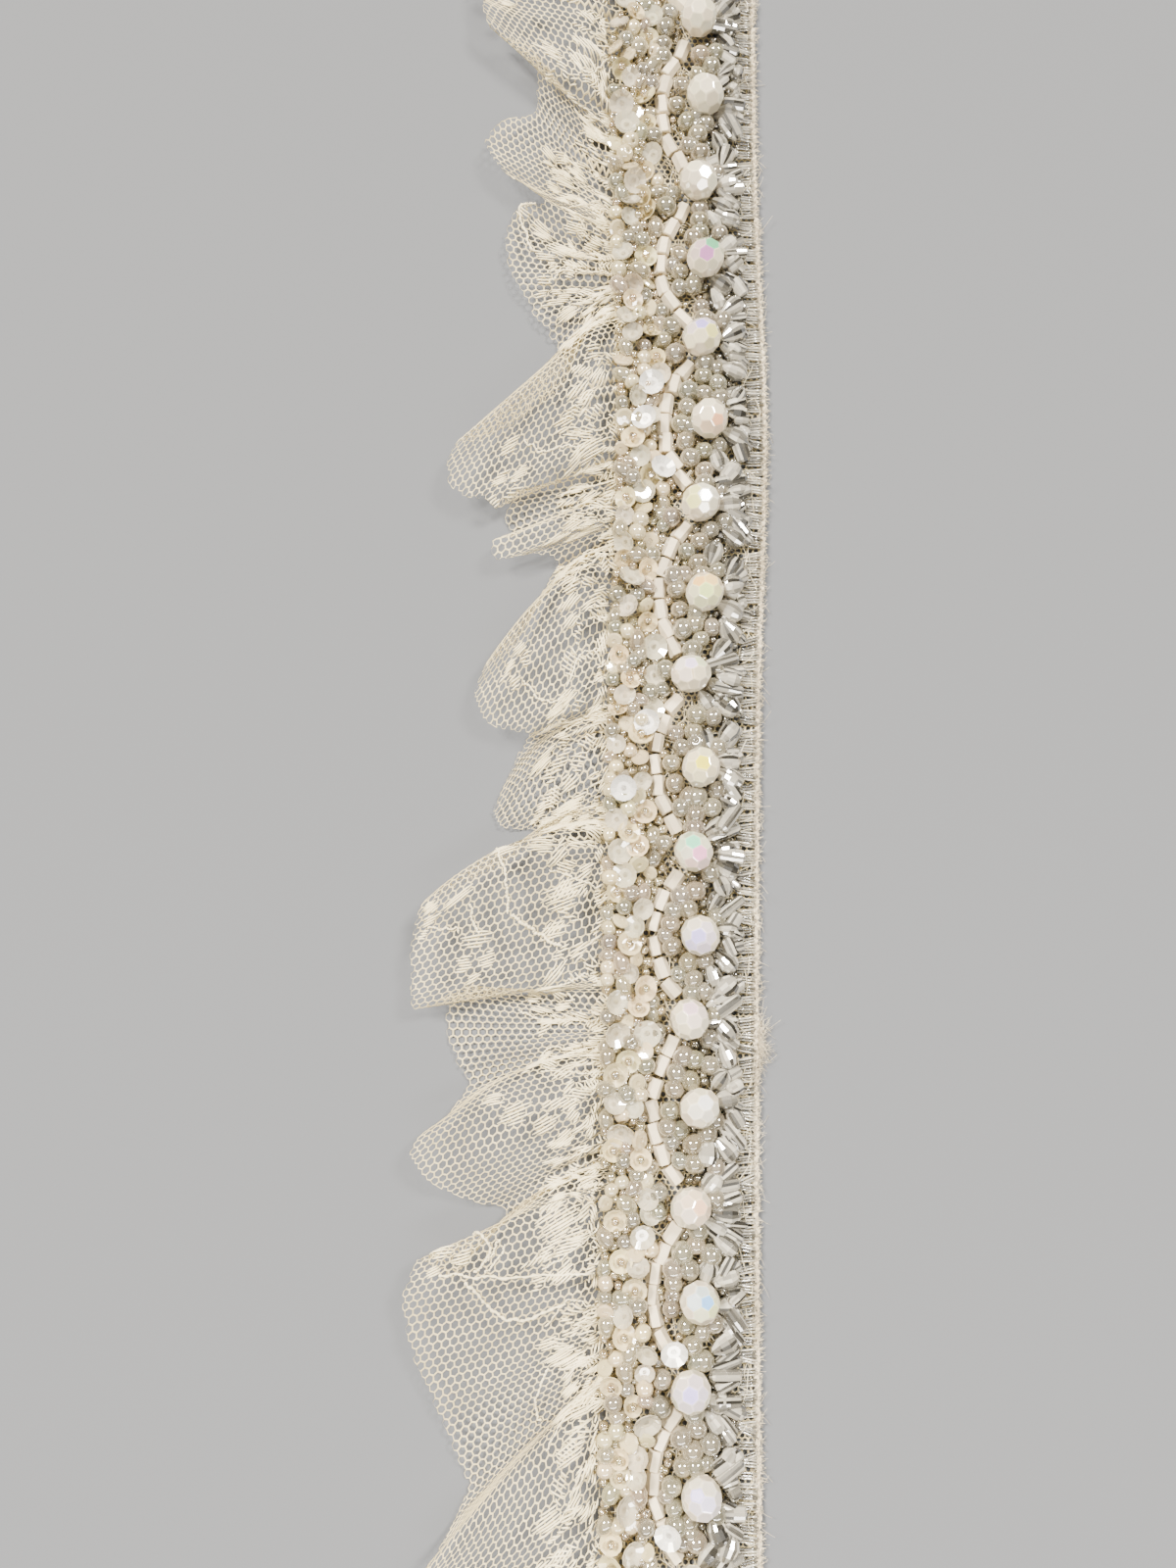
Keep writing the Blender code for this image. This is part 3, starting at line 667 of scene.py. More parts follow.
satin = {
    "pitch": 0.44,
    "thread": 0.14,
    "lift": 0.12,
    "plump": 0.18,
    "gimp": 0.9,  # share of the thickness that the table of cords gives
    "stem": 0.11,
    "seamLeaves": 2.4,  # pitch of the leaves along the seam, of the sprigs and of the stems
    "sprigs": 7.5,
    "stems": 13.0,
    # the ranges that each leaf takes its slant, bend and turn from
    "tableLeaf": ((-0.5, 0.5), (-0.3, 0.3), (-0.3, 0.3)),
    # the same for w, length, width, slant, bend and turn
    "seamLeaf": ((0.2, 3.6), (1.6, 3.8), (1.8, 4.2), (-1.2, 1.2), (-0.8, 0.8), (-1.3, 1.3)),
    # the same for length, width, slant, bend and turn
    "sprigLeaf": ((1.8, 4.4), (1.6, 3.4), (-1.2, 1.2), (-0.8, 0.8), (-0.8, 0.8)),
    # single petals and leaves: u, w, length out from the seam, width along the strip
    "leaves": (
        (8.8, 20.5, 3.4, 2.7), (10.8, 16.5, 4.2, 2.7), (14.5, 19.0, 3.0, 2.0), (21.5, 13.0, 5.0, 3.1),
        (29.8, 11.5, 4.5, 2.5), (47.4, 7.6, 3.4, 2.4), (53.9, 9.4, 4.8, 2.4), (56.8, 11.6, 2.8, 3.0),
        (57.3, 8.6, 3.0, 2.4), (60.2, 10.2, 2.6, 2.2), (72.0, 17.2, 3.4, 2.5), (73.4, 13.2, 5.0, 3.2),
        (76.5, 9.6, 6.0, 3.4), (78.9, 12.6, 4.0, 1.8), (84.4, 12.2, 2.6, 1.5), (87.0, 12.8, 2.2, 1.4),
        (86.7, 10.4, 2.4, 1.5), (89.1, 11.4, 2.4, 1.4), (131.0, 20.6, 4.2, 2.3), (135.3, 21.8, 3.2, 2.2),
        (136.3, 18.6, 3.8, 2.7), (138.9, 23.0, 2.6, 2.1), (138.9, 19.6, 2.8, 1.6), (137.9, 6.6, 6.4, 3.5),
        (142.1, 5.0, 5.0, 3.0), (195.2, 18.4, 2.8, 1.9), (197.0, 20.2, 2.8, 2.2), (197.6, 17.0, 2.6, 2.0),
        (199.6, 18.8, 2.6, 2.0), (223.7, 12.8, 5.4, 2.8), (226.4, 11.2, 3.0, 1.8), (229.2, 11.2, 3.6, 2.7),
        (232.1, 8.2, 5.4, 2.3), (234.5, 11.4, 3.2, 1.9), (254.9, 17.6, 3.6, 2.5), (256.3, 11.6, 5.0, 3.1),
        (258.3, 30.2, 2.6, 2.9), (260.8, 29.8, 3.0, 1.9), (259.5, 25.0, 6.6, 1.3), (263.2, 30.6, 1.6, 1.8),
        (267.0, 21.8, 5.2, 2.5), (270.1, 23.6, 3.2, 2.7), (270.4, 19.8, 3.0, 2.7), (273.0, 21.6, 3.2, 1.6),
        (265.1, 8.8, 7.0, 4.1), (269.2, 9.4, 5.0, 2.4), (289.6, 10.5, 4.0, 1.6), (292.6, 9.4, 4.4, 1.8),
        (316.6, 15.0, 5.0, 2.9), (313.1, 18.5, 4.0, 2.4), (319.1, 11.0, 4.5, 2.5), (351.8, 26.2, 4.6, 2.9),
        (354.4, 23.4, 3.4, 2.6), (355.2, 27.4, 2.6, 1.9), (353.2, 8.4, 7.0, 4.0), (356.4, 6.6, 5.4, 3.0),
        (374.1, 7.8, 5.4, 2.5), (377.2, 6.0, 5.4, 3.2), (371.1, 9.4, 4.0, 1.8), (392.3, 6.5, 6.0, 3.0),
        (397.8, 5.6, 6.6, 3.8), (402.6, 6.4, 6.0, 3.5), (409.3, 10.5, 5.0, 3.1), (415.4, 14.5, 4.4, 2.7),
    ),
    # corded outlines and stems: thickness, then (u, w) along the line
    "cords": (
        (0.22, (69.7, 22.5), (71.4, 19.6), (74.7, 17.0), (78.7, 14.5)),
        (0.16, (84.9, 11.6), (81.6, 8.6), (79.9, 5.0)),
        (0.16, (131.2, 18.0), (133.7, 15.0), (135.3, 11.0), (136.9, 8.0)),
        (0.16, (200.2, 17.2), (203.7, 14.0), (205.8, 9.0)),
        (0.20, (253.3, 18.4), (258.2, 18.1), (262.5, 17.4), (264.9, 17.2)),
        (0.28, (265.1, 16.4), (267.5, 14.0), (269.7, 11.6), (271.7, 8.4)),
        (0.15, (261.3, 23.4), (264.5, 22.2), (266.3, 21.6)),
        (0.15, (262.0, 30.0), (263.7, 27.0), (265.1, 24.8)),
        (0.16, (290.2, 14.0), (292.0, 10.0), (290.9, 6.0)),
        (0.20, (356.2, 26.4), (357.7, 20.8), (360.3, 12.0), (362.6, 3.0)),
        (0.24, (358.2, 22.4), (362.0, 19.4), (365.2, 15.6), (366.2, 12.0), (365.7, 7.0)),
        (0.20, (349.9, 21.0), (353.6, 18.8), (355.7, 19.2), (357.0, 21.2)),
        (0.14, (353.5, 17.4), (356.2, 19.8)),
        (0.14, (354.6, 16.6), (357.7, 19.4)),
        (0.16, (375.9, 9.6), (380.2, 12.4), (385.2, 12.6)),
    ),
}


def petalThreads(u, w, length, width, slant, bend, turn, pick):
    # one satin leaf, turned from the way out from the seam: threads side by side, whose
    # middles follow a slant and a bend across the leaf; their length falls off by
    # 0.7 * across ** 3 and their ends are ragged
    count = max(3, int(width / satin["pitch"]))
    across = (np.arange(count) + 0.5) / count * 2.0 - 1.0
    half = 0.5 * length * (1.0 - 0.7 * np.abs(across) ** 3) * pick.uniform(0.62, 1.1, count)
    middle = 0.5 * width * slant * across + 0.5 * length * bend * (across**2 - 0.3)
    middle = middle + 0.09 * length * pick.normal(0, 1, count)
    t = np.linspace(-1.0, 1.0, 5)
    stray = 0.06 * pick.normal(0, 1, (count, 1)) * t + 0.03 * pick.normal(0, 1, (count, 5))
    side = 0.5 * width * across[:, None] + stray
    out = middle[:, None] + half[:, None] * t[None]
    us = u + side * math.cos(turn) - out * math.sin(turn)
    ws = w + side * math.sin(turn) + out * math.cos(turn)
    lift = satin["lift"] + satin["plump"] * (1 - t[None] ** 2) * pick.uniform(0.4, 1.1, (count, 1))
    us = np.clip(us, 0.3, laceU[-1] - 0.6)
    free = np.interp(us, laceU, laceFree)
    return us, np.clip(ws, -3.0, free - 0.1), lift


def drawn(pick, ranges):
    # one random number from each range in turn
    return [pick.uniform(low, high) for low, high in ranges]


def laceLeaves(pick):
    # the table's own leaves, then leaves along the seam and sprigs of four to six leaves
    rows = [(*leaf, *drawn(pick, satin["tableLeaf"])) for leaf in satin["leaves"]]
    for u in np.arange(2.0, laceU[-1] - 3.0, satin["seamLeaves"]):
        rows.append((u + pick.uniform(-1.2, 1.2), *drawn(pick, satin["seamLeaf"])))
    for u in np.arange(6.0, laceU[-1] - 6.0, satin["sprigs"]):
        u, w = u + pick.uniform(-2.5, 2.5), pick.uniform(3.5, 10.5)
        for turn in np.arange(pick.integers(4, 7)) * 1.15 + pick.uniform(0, 6.28):
            far = pick.uniform(1.5, 3.2)
            place = (u + far * 1.2 * math.cos(turn), w + far * math.sin(turn))
            rows.append((*place, *drawn(pick, satin["sprigLeaf"])))
    return rows


def gimpLine(thick, knots, pick, steps=60):
    # a corded outline through its places, a little unsteady, swelling at each stitch
    knots = np.array(knots)
    at = np.arange(len(knots), dtype=float)
    fine = np.linspace(0.0, at[-1], steps)
    stray = np.cumsum(pick.normal(0, 0.09, (steps, 2)), axis=0)
    stray = stray - np.linspace(0, 1, steps)[:, None] * stray[-1:]
    u = curveThrough(at, knots[:, 0], fine) + stray[:, 0]
    w = curveThrough(at, knots[:, 1], fine) + stray[:, 1]
    base = onLace(u, w)
    above = onLace(u, w, 1.0) - base
    swell = thick * (1.0 + 0.4 * np.sin(np.arange(steps) * 1.9) + 0.15 * pick.normal(0, 1, steps))
    return threadTubes((base + above * (thick + 0.08))[None], swell[None], 6)


def makeSatin():
    # every leaf's threads and every cord, laid on the lace
    pick = np.random.default_rng(71)
    rows = [petalThreads(*leaf, pick) for leaf in laceLeaves(pick)]
    us, ws, lift = (np.concatenate([row[k] for row in rows]) for k in range(3))
    base = onLace(us, ws)
    above = onLace(us, ws, 1.0) - base
    paths = base + above * lift[..., None]
    paths[..., 2] = np.maximum(paths[..., 2], satin["thread"] + 0.02)
    leaves = threadTubes(paths, satin["thread"] * np.array([0.55, 1.0, 1.0, 1.0, 0.55]), 4)
    cords = [gimpLine(satin["gimp"] * row[0], row[1:], pick) for row in satin["cords"]]
    for u in np.arange(4.0, laceU[-1] - 8.0, satin["stems"]):  # stems wandering out from the seam
        w = np.cumsum([pick.uniform(0, 1.5), *pick.uniform(2.0, 4.0, 3)])
        side = u + np.cumsum(pick.normal(0, 1.8, 4))
        reach = np.interp(side, laceU, laceFree) - 2.0
        cords.append(gimpLine(satin["stem"], np.stack([side, np.minimum(w, reach)], axis=-1), pick))
    print("satin threads", len(paths))
    own(putMesh("satinFlowers", *joined(leaves, *cords), satinThread), "lace")


makeSatin()

ground = {
    "left": 4.6,
    "right": 25.2,
    "cell": 0.92,
    "opening": 0.76,
    "ridge": 0.08,
    "waves": 0.12,
    "sunk": 0.25,  # how far the threads lie under the plane that the beads rest on
}


def makeGroundNet():
    # an even honeycomb, a little wavy, its strands' ridge just under the top of the ground
    wide = ground["right"] - ground["left"]
    centres, corners = hexCells(2 * band["halfLength"] - 1.0, wide, ground["cell"])
    flat, faces, ridge = netFrames(centres, corners, ground["opening"])
    y = flat[:, 0] - band["halfLength"] + 0.6
    x = flat[:, 1] + ground["left"] + sway(y)
    wave = np.sin(y * 0.55 + 2.0 * np.sin(x * 0.4)) * np.sin(x * 0.9 + 0.3 * y)
    z = band["netTop"] - ground["sunk"] + ground["waves"] * wave + ridge * ground["ridge"]
    net = putMesh("groundNet", np.stack([x, y, z], axis=-1), [faces[:, ::-1]], netThread)
    print("ground net cells", len(centres))
    return net, len(centres)


groundNet, groundCells = makeGroundNet()
own(groundNet, "net", "ground_net")

cord = {
    "x": 25.8,
    "z": 0.75,
    "wide": 0.2,
    "high": 0.16,
    "strand": 0.17,
    "pitch": 2.3,
    "knot": 1.15,
    "hairs": 3200,
    "hair": 0.03,
    "tuft": -46.0,  # y of one loose tuft, and its share of the hairs
    "tuftHairs": 160,
}


def cordPlait():
    # three strands plaited: each swings sideways once while it rises and falls twice,
    # and swells once for each chain knot
    y = np.linspace(band["halfLength"], -band["halfLength"], 1600)
    stray = 0.1 * np.sin(y * 1.7 + np.sin(y * 0.5)) + 0.07 * np.sin(y * 4.1)
    swell = cord["strand"] * (1.0 + 0.5 * np.sin(y * math.tau / cord["knot"]) + 0.12 * np.sin(y * 2.3))
    strands = []
    for n in range(3):
        turn = y * math.tau / cord["pitch"] + n * math.tau / 3 + 0.5 * np.sin(y * 0.9)
        x = cord["x"] + sway(y) + stray + cord["wide"] * np.sin(turn)
        z = cord["z"] + cord["high"] * np.sin(2 * turn)
        strands.append(np.stack([x, y, z], axis=-1))
    return threadTubes(strands, swell[None], 6)


def cordHairs(pick):
    # short curled hairs out of the cord's far side: root + away * s + curl * s ** 2
    count, tuft = cord["hairs"], slice(cord["tuftHairs"])
    start = pick.uniform(-1, 1, count) * (band["halfLength"] - 1)
    start[tuft] = cord["tuft"] + pick.normal(0, 1.6, cord["tuftHairs"])
    turn = pick.uniform(-0.7, math.pi + 0.5, count)
    length = 0.35 + pick.exponential(0.28, count).clip(0, 1.5)
    length[tuft] *= 2.2
    turn[tuft] = pick.uniform(-0.5, 0.9, cord["tuftHairs"])
    across = cord["x"] + sway(start) + 0.3 * np.cos(turn)
    root = np.stack([across, start, cord["z"] + 0.32 * np.sin(turn)], axis=-1)
    away = np.stack([np.cos(turn), pick.normal(0, 1.1, count), 0.55 * np.sin(turn)], axis=-1)
    away = unit(away) * length[:, None]
    curl = pick.normal(0, 1, (count, 3)) * (0.3, 0.7, 0.15)
    s = np.linspace(0.0, 1.0, 4)[None, :, None]
    hairs = root[:, None] + away[:, None] * s + curl[:, None] * s * s * length[:, None, None]
    hairs[..., 2] = np.maximum(hairs[..., 2], 0.06)
    return threadTubes(hairs, cord["hair"], 3)


def cordEnds(pick):
    # a short end of thread at each knot
    y = np.arange(-band["halfLength"] + 1.0, band["halfLength"] - 1.0, cord["knot"])
    reach = np.linspace(0.1, 0.85, 3)[None] * pick.uniform(0.6, 1.25, (len(y), 1))
    lean = pick.normal(0, 0.25, (len(y), 1)) * np.linspace(0, 1, 3)[None]
    x, z = cord["x"] + sway(y)[:, None] + reach, cord["z"] - 0.1 * reach
    return threadTubes(np.stack([x, y[:, None] + lean, z], axis=-1), np.array([0.13, 0.1, 0.05]), 5)


def makeEdgeCord():
    # the plait, its hairs and its short ends as one piece
    pick = np.random.default_rng(21)
    parts = joined(cordPlait(), cordHairs(pick), cordEnds(pick))
    own(putMesh("edgeCord", *parts, cordYarn), "cord", "edge_cord")


makeEdgeCord()
print("cord plaited")

facets = {
    "radius": 3.0,
    "around": 9,
    "rings": ((0.0, 0.0), (37.0, 0.5), (67.0, 0.0)),  # tilt from the girdle, turn in facets
    "pole": 0.93,  # distance of the pole facets, and of the others, on a ball of radius 1
    "face": 0.955,
    "rim": 0.17,
    "rimFall": 0.012,
    # painted highlight: the colour of each facet's rim is raised by this factor
    "paintedRimHighlight": 1.18,
    "milk": (0.78, 0.69, 0.50),
    "fade": 0.45,  # how far a flash of colour reaches into the facets beside it
}
# (order of the bead, facet's direction x, y, its flash colour)
flashes = (
    (4, -0.15, 0.1, (0.42, 0.15, 0.36)),
    (4, 0.35, 0.6, (0.14, 0.46, 0.24)),
    (5, 0.0, 0.4, (0.44, 0.36, 0.78)),
    (5, 0.3, -0.25, (0.69, 0.64, 0.24)),
    (6, 0.3, -0.6, (0.88, 0.46, 0.26)),
    (7, -0.3, 0.1, (0.83, 0.85, 0.04)),
    (7, 0.35, 0.25, (0.89, 0.89, 0.81)),
    (8, -0.1, 0.4, (0.89, 0.53, 0.18)),
    (8, 0.45, 0.4, (0.89, 0.62, 0.24)),
    (8, 0.3, -0.3, (0.63, 0.73, 0.26)),
    (8, -0.3, -0.3, (0.66, 0.74, 0.39)),
    (9, -0.2, 0.3, (0.78, 0.65, 0.85)),
    (9, 0.35, 0.5, (0.64, 0.67, 0.40)),
    (9, 0.2, -0.2, (0.74, 0.60, 0.37)),
    (10, 0.0, 0.1, (0.87, 0.75, 0.04)),
    (11, -0.3, 0.5, (0.24, 0.71, 0.44)),
    (11, 0.25, 0.4, (0.62, 0.69, 0.42)),
    (11, 0.2, -0.3, (0.84, 0.34, 0.54)),
    (12, 0.1, 0.0, (0.49, 0.42, 0.84)),
    (12, -0.4, -0.4, (0.57, 0.52, 0.82)),
    (13, 0.2, 0.4, (0.81, 0.58, 0.63)),
    (14, 0.1, 0.1, (0.80, 0.78, 0.75)),
    (15, 0.1, 0.3, (0.89, 0.46, 0.21)),
    (15, 0.5, -0.1, (0.89, 0.56, 0.36)),
    (15, -0.4, 0.1, (0.79, 0.66, 0.54)),
    (16, 0.0, 0.45, (0.23, 0.48, 0.89)),
    (16, 0.4, 0.1, (0.63, 0.80, 0.18)),
    (17, 0.2, 0.2, (0.53, 0.45, 0.88)),
    (17, -0.4, 0.1, (0.63, 0.56, 0.83)),
    (18, -0.2, 0.3, (0.53, 0.46, 0.85)),
    (18, 0.4, -0.1, (0.65, 0.60, 0.80)),
    (19, 0.1, 0.3, (0.63, 0.56, 0.83)),
)


def cutPlanes():
    # (direction, distance) of every facet's plane: the two poles, the girdle, and each
    # ring of facets above and below it
    planes = [((0.0, 0.0, sign), facets["pole"]) for sign in (1, -1)]
    for tilt, turn in facets["rings"]:
        for sign in ((1,) if tilt == 0.0 else (1, -1)):
            lift = math.radians(tilt) * sign
            for n in range(facets["around"]):
                angle = (n + turn) * math.tau / facets["around"]
                level = (math.cos(lift) * math.cos(angle), math.cos(lift) * math.sin(angle))
                planes.append(((*level, math.sin(lift)), facets["face"]))
    return planes


def cutBead():
    # a ball of radius 1 cut by one plane for each facet; each facet has a rim that falls away
    ball = bmesh.new()
    bmesh.ops.create_cube(ball, size=2.0)
    for normal, distance in cutPlanes():
        every = ball.verts[:] + ball.edges[:] + ball.faces[:]
        place = [distance * k for k in normal]
        cut = bmesh.ops.bisect_plane(ball, geom=every, plane_co=place, plane_no=normal, clear_outer=True)
        rim = [e for e in cut["geom_cut"] if isinstance(e, bmesh.types.BMEdge)]
        bmesh.ops.edgeloop_fill(ball, edges=rim)
    bmesh.ops.recalc_face_normals(ball, faces=ball.faces[:])
    corners, facet, onRim, normals = [], [], [], []
    for n, face in enumerate(ball.faces):  # one facet at a time
        outer = np.array([v.co[:] for v in face.verts])
        inner = outer + facets["rim"] * (outer.mean(axis=0) - outer)
        outer = outer * (1.0 - facets["rimFall"])
        nextOuter, nextInner = np.roll(outer, -1, axis=0), np.roll(inner, -1, axis=0)
        middle = np.repeat(inner[:1], len(inner) - 2, axis=0)
        flat = np.stack([middle, inner[1:-1], inner[2:]], axis=1)
        triangles = ((outer, nextOuter, nextInner), (outer, nextInner, inner))
        slope = [np.stack(three, axis=1) for three in triangles]
        corners += [flat, *slope]
        facet += [n] * (len(flat) + 2 * len(outer))
        onRim += [0.0] * len(flat) + [1.0] * 2 * len(outer)
        normals.append(face.normal[:])
    ball.free()
    return np.concatenate(corners), np.array(facet), np.array(onRim), np.array(normals)


def beadMatrix(pick):
    # lying on its side, turned any way round its hole
    lie = pick.uniform(0, math.pi)
    axis = np.array([math.cos(lie), math.sin(lie), 0.25 * pick.uniform(-1, 1)])
    roll = pick.uniform(0, math.tau)
    spin = np.array([[math.cos(roll), -math.sin(roll), 0], [math.sin(roll), math.cos(roll), 0], [0, 0, 1]])
    return framesAlong(axis[None])[0] @ spin


def facetTints(number, outward, pick):
    # milk glass, a little uneven, with the flashes that the table gives this bead
    tint = np.array(facets["milk"]) * (1 + 0.06 * pick.uniform(-1, 1, (len(outward), 1)))
    tint = tint * (1 + 0.03 * pick.uniform(-1, 1, (len(outward), 3)))
    seen = []
    for order, dx, dy, colour in flashes:
        if order == number:
            aim = np.array([dx, dy, math.sqrt(max(0.05, 1 - dx * dx - dy * dy))])
            seen.append((outward @ aim, np.array(colour)))
    for near, colour in seen:  # a flash reaches a little into the facets beside its own
        fade = facets["fade"] * smoothStep((near - 0.6) / (near.max() - 0.6))[:, None]
        tint = tint * (1.0 - fade) + colour * fade
    for near, colour in seen[::-1]:
        tint[int(np.argmax(near))] = colour
    return tint


def makeFacetBead(number, node):
    # every facet keeps its own corners, so that it can hold its own flash of colour
    pick = np.random.default_rng(100 + number)
    matrix = beadMatrix(pick)
    tint = facetTints(number, cutNormals @ matrix.T, pick)
    corners = cutCorners.reshape(-1, 3) @ matrix.T * facets["radius"] + facetPlace[number - 1]
    # painted highlight along the rim of every facet
    paintedRimLight = 1.0 + (facets["paintedRimHighlight"] - 1.0) * cutRim[:, None]
    colours = np.clip(tint[cutFacet] * paintedRimLight, 0.0, 0.98)
    colours = np.repeat(np.concatenate([colours, np.ones((len(colours), 1))], axis=1), 3, axis=0)
    faces = [np.arange(len(corners)).reshape(-1, 3)]
    own(putMesh("facetBead%02d" % number, corners, faces, milkGlass, False, colours), "faceted_glass", node)


cutCorners, cutFacet, cutRim, cutNormals = cutBead()
for number, node in enumerate(facetNodes, start=1):
    makeFacetBead(number, node)
print("faceted beads", len(facetNodes), "triangles each", len(cutCorners))

tube = {
    "radius": 0.9,
    "length": 3.0,
    "gap": 0.22,
    "reach": 6.8,  # how far a scallop passes left of its middle bead
    "inset": 1.5,  # where it starts and ends: left of its end beads, and inside them
    "side": 3.0,
    "sides": 6,
    "profile": (  # from one hole's wall, round the outside, to the other
        (-1.1, 0.33), (-1.46, 0.36), (-1.5, 0.94), (-1.4, 1.14),
        (1.4, 1.14), (1.5, 0.94), (1.46, 0.36), (1.1, 0.33),
    ),
    "colour": (0.88, 0.75, 0.53),
    # painted shade: the brightness that each flat side of a tube bead may take
    "paintedShades": (0.7, 0.85, 0.95, 1.0),
}
tubeTemplate = turnedProfile(tube["profile"], tube["sides"])


def scallopPath(start, end, middle):
    # bows left of the middle bead by a flattened half sine wave
    s = np.linspace(0.0, 1.0, 61)
    ends = np.interp(s, (0.0, 1.0), (start[0] - tube["inset"], end[0] - tube["inset"]))
    x = ends + (middle[0] - tube["reach"] - ends) * np.sin(math.pi * s) ** 0.8
    y = np.interp(s, (0.0, 1.0), (start[1] - tube["side"], end[1] + tube["side"]))
    return np.stack([x, y, np.full_like(x, band["netTop"] + tube["radius"])], axis=-1)


def beadsOn(path, pitch):
    # evenly spaced places and directions along a path
    count = max(1, round(pathLength(path) / pitch))
    distance = (np.arange(count) + 0.5) * pathLength(path) / count
    return alongPath(path, distance), directionsAt(path, distance)


joins, middles = facetPlace[0::2], facetPlace[1::2]
farJoin = joins[0] + (0.0, 26.0, 0.0)
scallops = [scallopPath(joins[n], joins[n + 1], middle) for n, middle in enumerate(middles)]
farHalf = scallopPath(farJoin, joins[0], joins[0] + (0.6, 0.0, 0.0))
scallops.append(farHalf[farHalf[:, 1] < band["halfLength"] - 1.0])


def makeTubeScallop(number, path):
    # one string of tube beads; it gives three places along each bead, to keep others clear
    pick = np.random.default_rng(200 + number)
    places, ways = beadsOn(path, tube["length"] + tube["gap"])
    ways = unit(ways + pick.normal(0, 0.11, ways.shape) * (1, 1, 0.6))
    places = places + pick.normal(0, 0.1, places.shape) * (1, 1, 0.3)
    shape = copies(tubeTemplate, places, framesAlong(ways), pick.uniform(0.95, 1.04, len(places)))
    # painted shade on each flat side of the tube beads
    paintedShades = tube["colour"], tube["paintedShades"]
    colours = paintedStreaks(len(places), len(tube["profile"]), tube["sides"], *paintedShades, 300 + number)
    piece = putMesh("tubeScallop%02d" % number, *shape, opaqueGlass, False, colours)
    own(piece, "tube_beads", "tube_scallop_%02d" % number)
    return np.concatenate([places - ways * 0.9, places, places + ways * 0.9])


tubePlaces = np.concatenate([makeTubeScallop(number, path) for number, path in enumerate(scallops, start=1)])
print("tube scallops", len(scallops))

pearl = {
    "ball": 1.4,  # radius of the round bead that every ball is a larger or smaller copy of
    "height": 1.6,
    "orbit": 4.34,
    "pitch": 3.15,
    "side": 4.2,  # each end's place inside the scallop's end beads
    # dark tint, partly the glass's own tone and partly painted shade: with softGlass's painted bright ring it
    # gives each ball a dark middle
    "colour": (0.34, 0.29, 0.19),
}
pearlTemplate = turnedProfile(beadProfile(pearl["ball"], 1.25, 0.3, 8), 12)


def pearlPath(middle, before, after):
    # out from under the scallop's first bead, round the middle bead, and back in
    turn = np.radians(np.linspace(105.0, 255.0, 31))
    arcX = middle[0] + pearl["orbit"] * np.cos(turn)
    arcY = middle[1] + pearl["orbit"] * np.sin(turn)
    rise = np.linspace(0.0, 1.0, 8)
    inX, startY, endY = middle[0] - 0.4, before[1] - pearl["side"], after[1] + pearl["side"]
    x = [np.interp(rise, (0, 1), (inX, arcX[0]))[:-1], arcX, np.interp(rise, (0, 1), (arcX[-1], inX))[1:]]
    y = [np.interp(rise, (0, 1), (startY, arcY[0]))[:-1], arcY, np.interp(rise, (0, 1), (arcY[-1], endY))[1:]]
    x, y = np.concatenate(x), np.concatenate(y)
    return np.stack([x, y, np.full_like(x, band["netTop"] + pearl["height"])], axis=-1)


def makePearlArc(number, path):
    # one string of balls round a middle bead; it gives their places
    pick = np.random.default_rng(400 + number)
    places, ways = beadsOn(path, pearl["pitch"])
    ways = unit(ways + pick.normal(0, 0.25, ways.shape))
    places = places + pick.normal(0, 0.15, places.shape) * (1, 1, 0.6)
    shape = copies(pearlTemplate, places, framesAlong(ways), pick.uniform(1.0, 1.2, len(places)))
    colours = tints(len(places), len(pearlTemplate[0]), pearl["colour"], 0.14, 500 + number)
    piece = putMesh("pearlArc%02d" % number, *shape, softGlass, True, colours)
    own(piece, "pearls", "pearl_arc_%02d" % number)
    return places


pearlPaths = [pearlPath(middle, joins[n], joins[n + 1]) for n, middle in enumerate(middles)]
pearlPlaces = np.concatenate([makePearlArc(number, path) for number, path in enumerate(pearlPaths, start=1)])
print("pearls strung")

crystal = {
    "pitch": 1.7,
    "right": 23.2,
    "fan": 0.5,  # share of the way over to the nearest faceted bead
    "longest": 5.8,
    "thin": 1.6,
    "thick": 2.6,
    "sides": 17,
    "bugle": (  # from one hole's wall, round the outside, to the other
        (-0.42, 0.16), (-0.49, 0.17), (-0.5, 0.32), (-0.42, 0.46), (0.0, 0.5),
        (0.42, 0.46), (0.5, 0.32), (0.49, 0.17), (0.42, 0.16),
    ),
    "drop": ((-1.3, 0.1), (-1.15, 0.35), (-0.4, 0.82), (0.35, 0.95), (0.9, 0.7), (1.15, 0.25)),
    "colour": (1.0, 0.93, 0.77),
    # painted highlights and shade: the brightness that each flat side of a crystal may take
    "paintedShades": (0.06, 0.16, 0.35, 0.7, 1.0, 1.0),
    "least": 0.5,
}


def nearestFacet(y):
    # the faceted bead nearest to each place along the trim
    return facetPlace[np.argmin(np.abs(facetPlace[:, 1][None] - y[:, None]), axis=1)]


def putCrystals(name, profile, places, frames, sizes, seed, *nodes):
    # clear cut beads, every flat side of them its own painted shade: painted streaks of highlight and shade
    shape = copies(turnedProfile(profile, crystal["sides"]), places, frames, sizes)
    paintedShades = crystal["colour"], crystal["paintedShades"]
    colours = paintedStreaks(len(places), len(profile), crystal["sides"], *paintedShades, seed, crystal["least"])
    own(putMesh(name, *shape, rodGlass, False, colours), "crystal", *nodes)


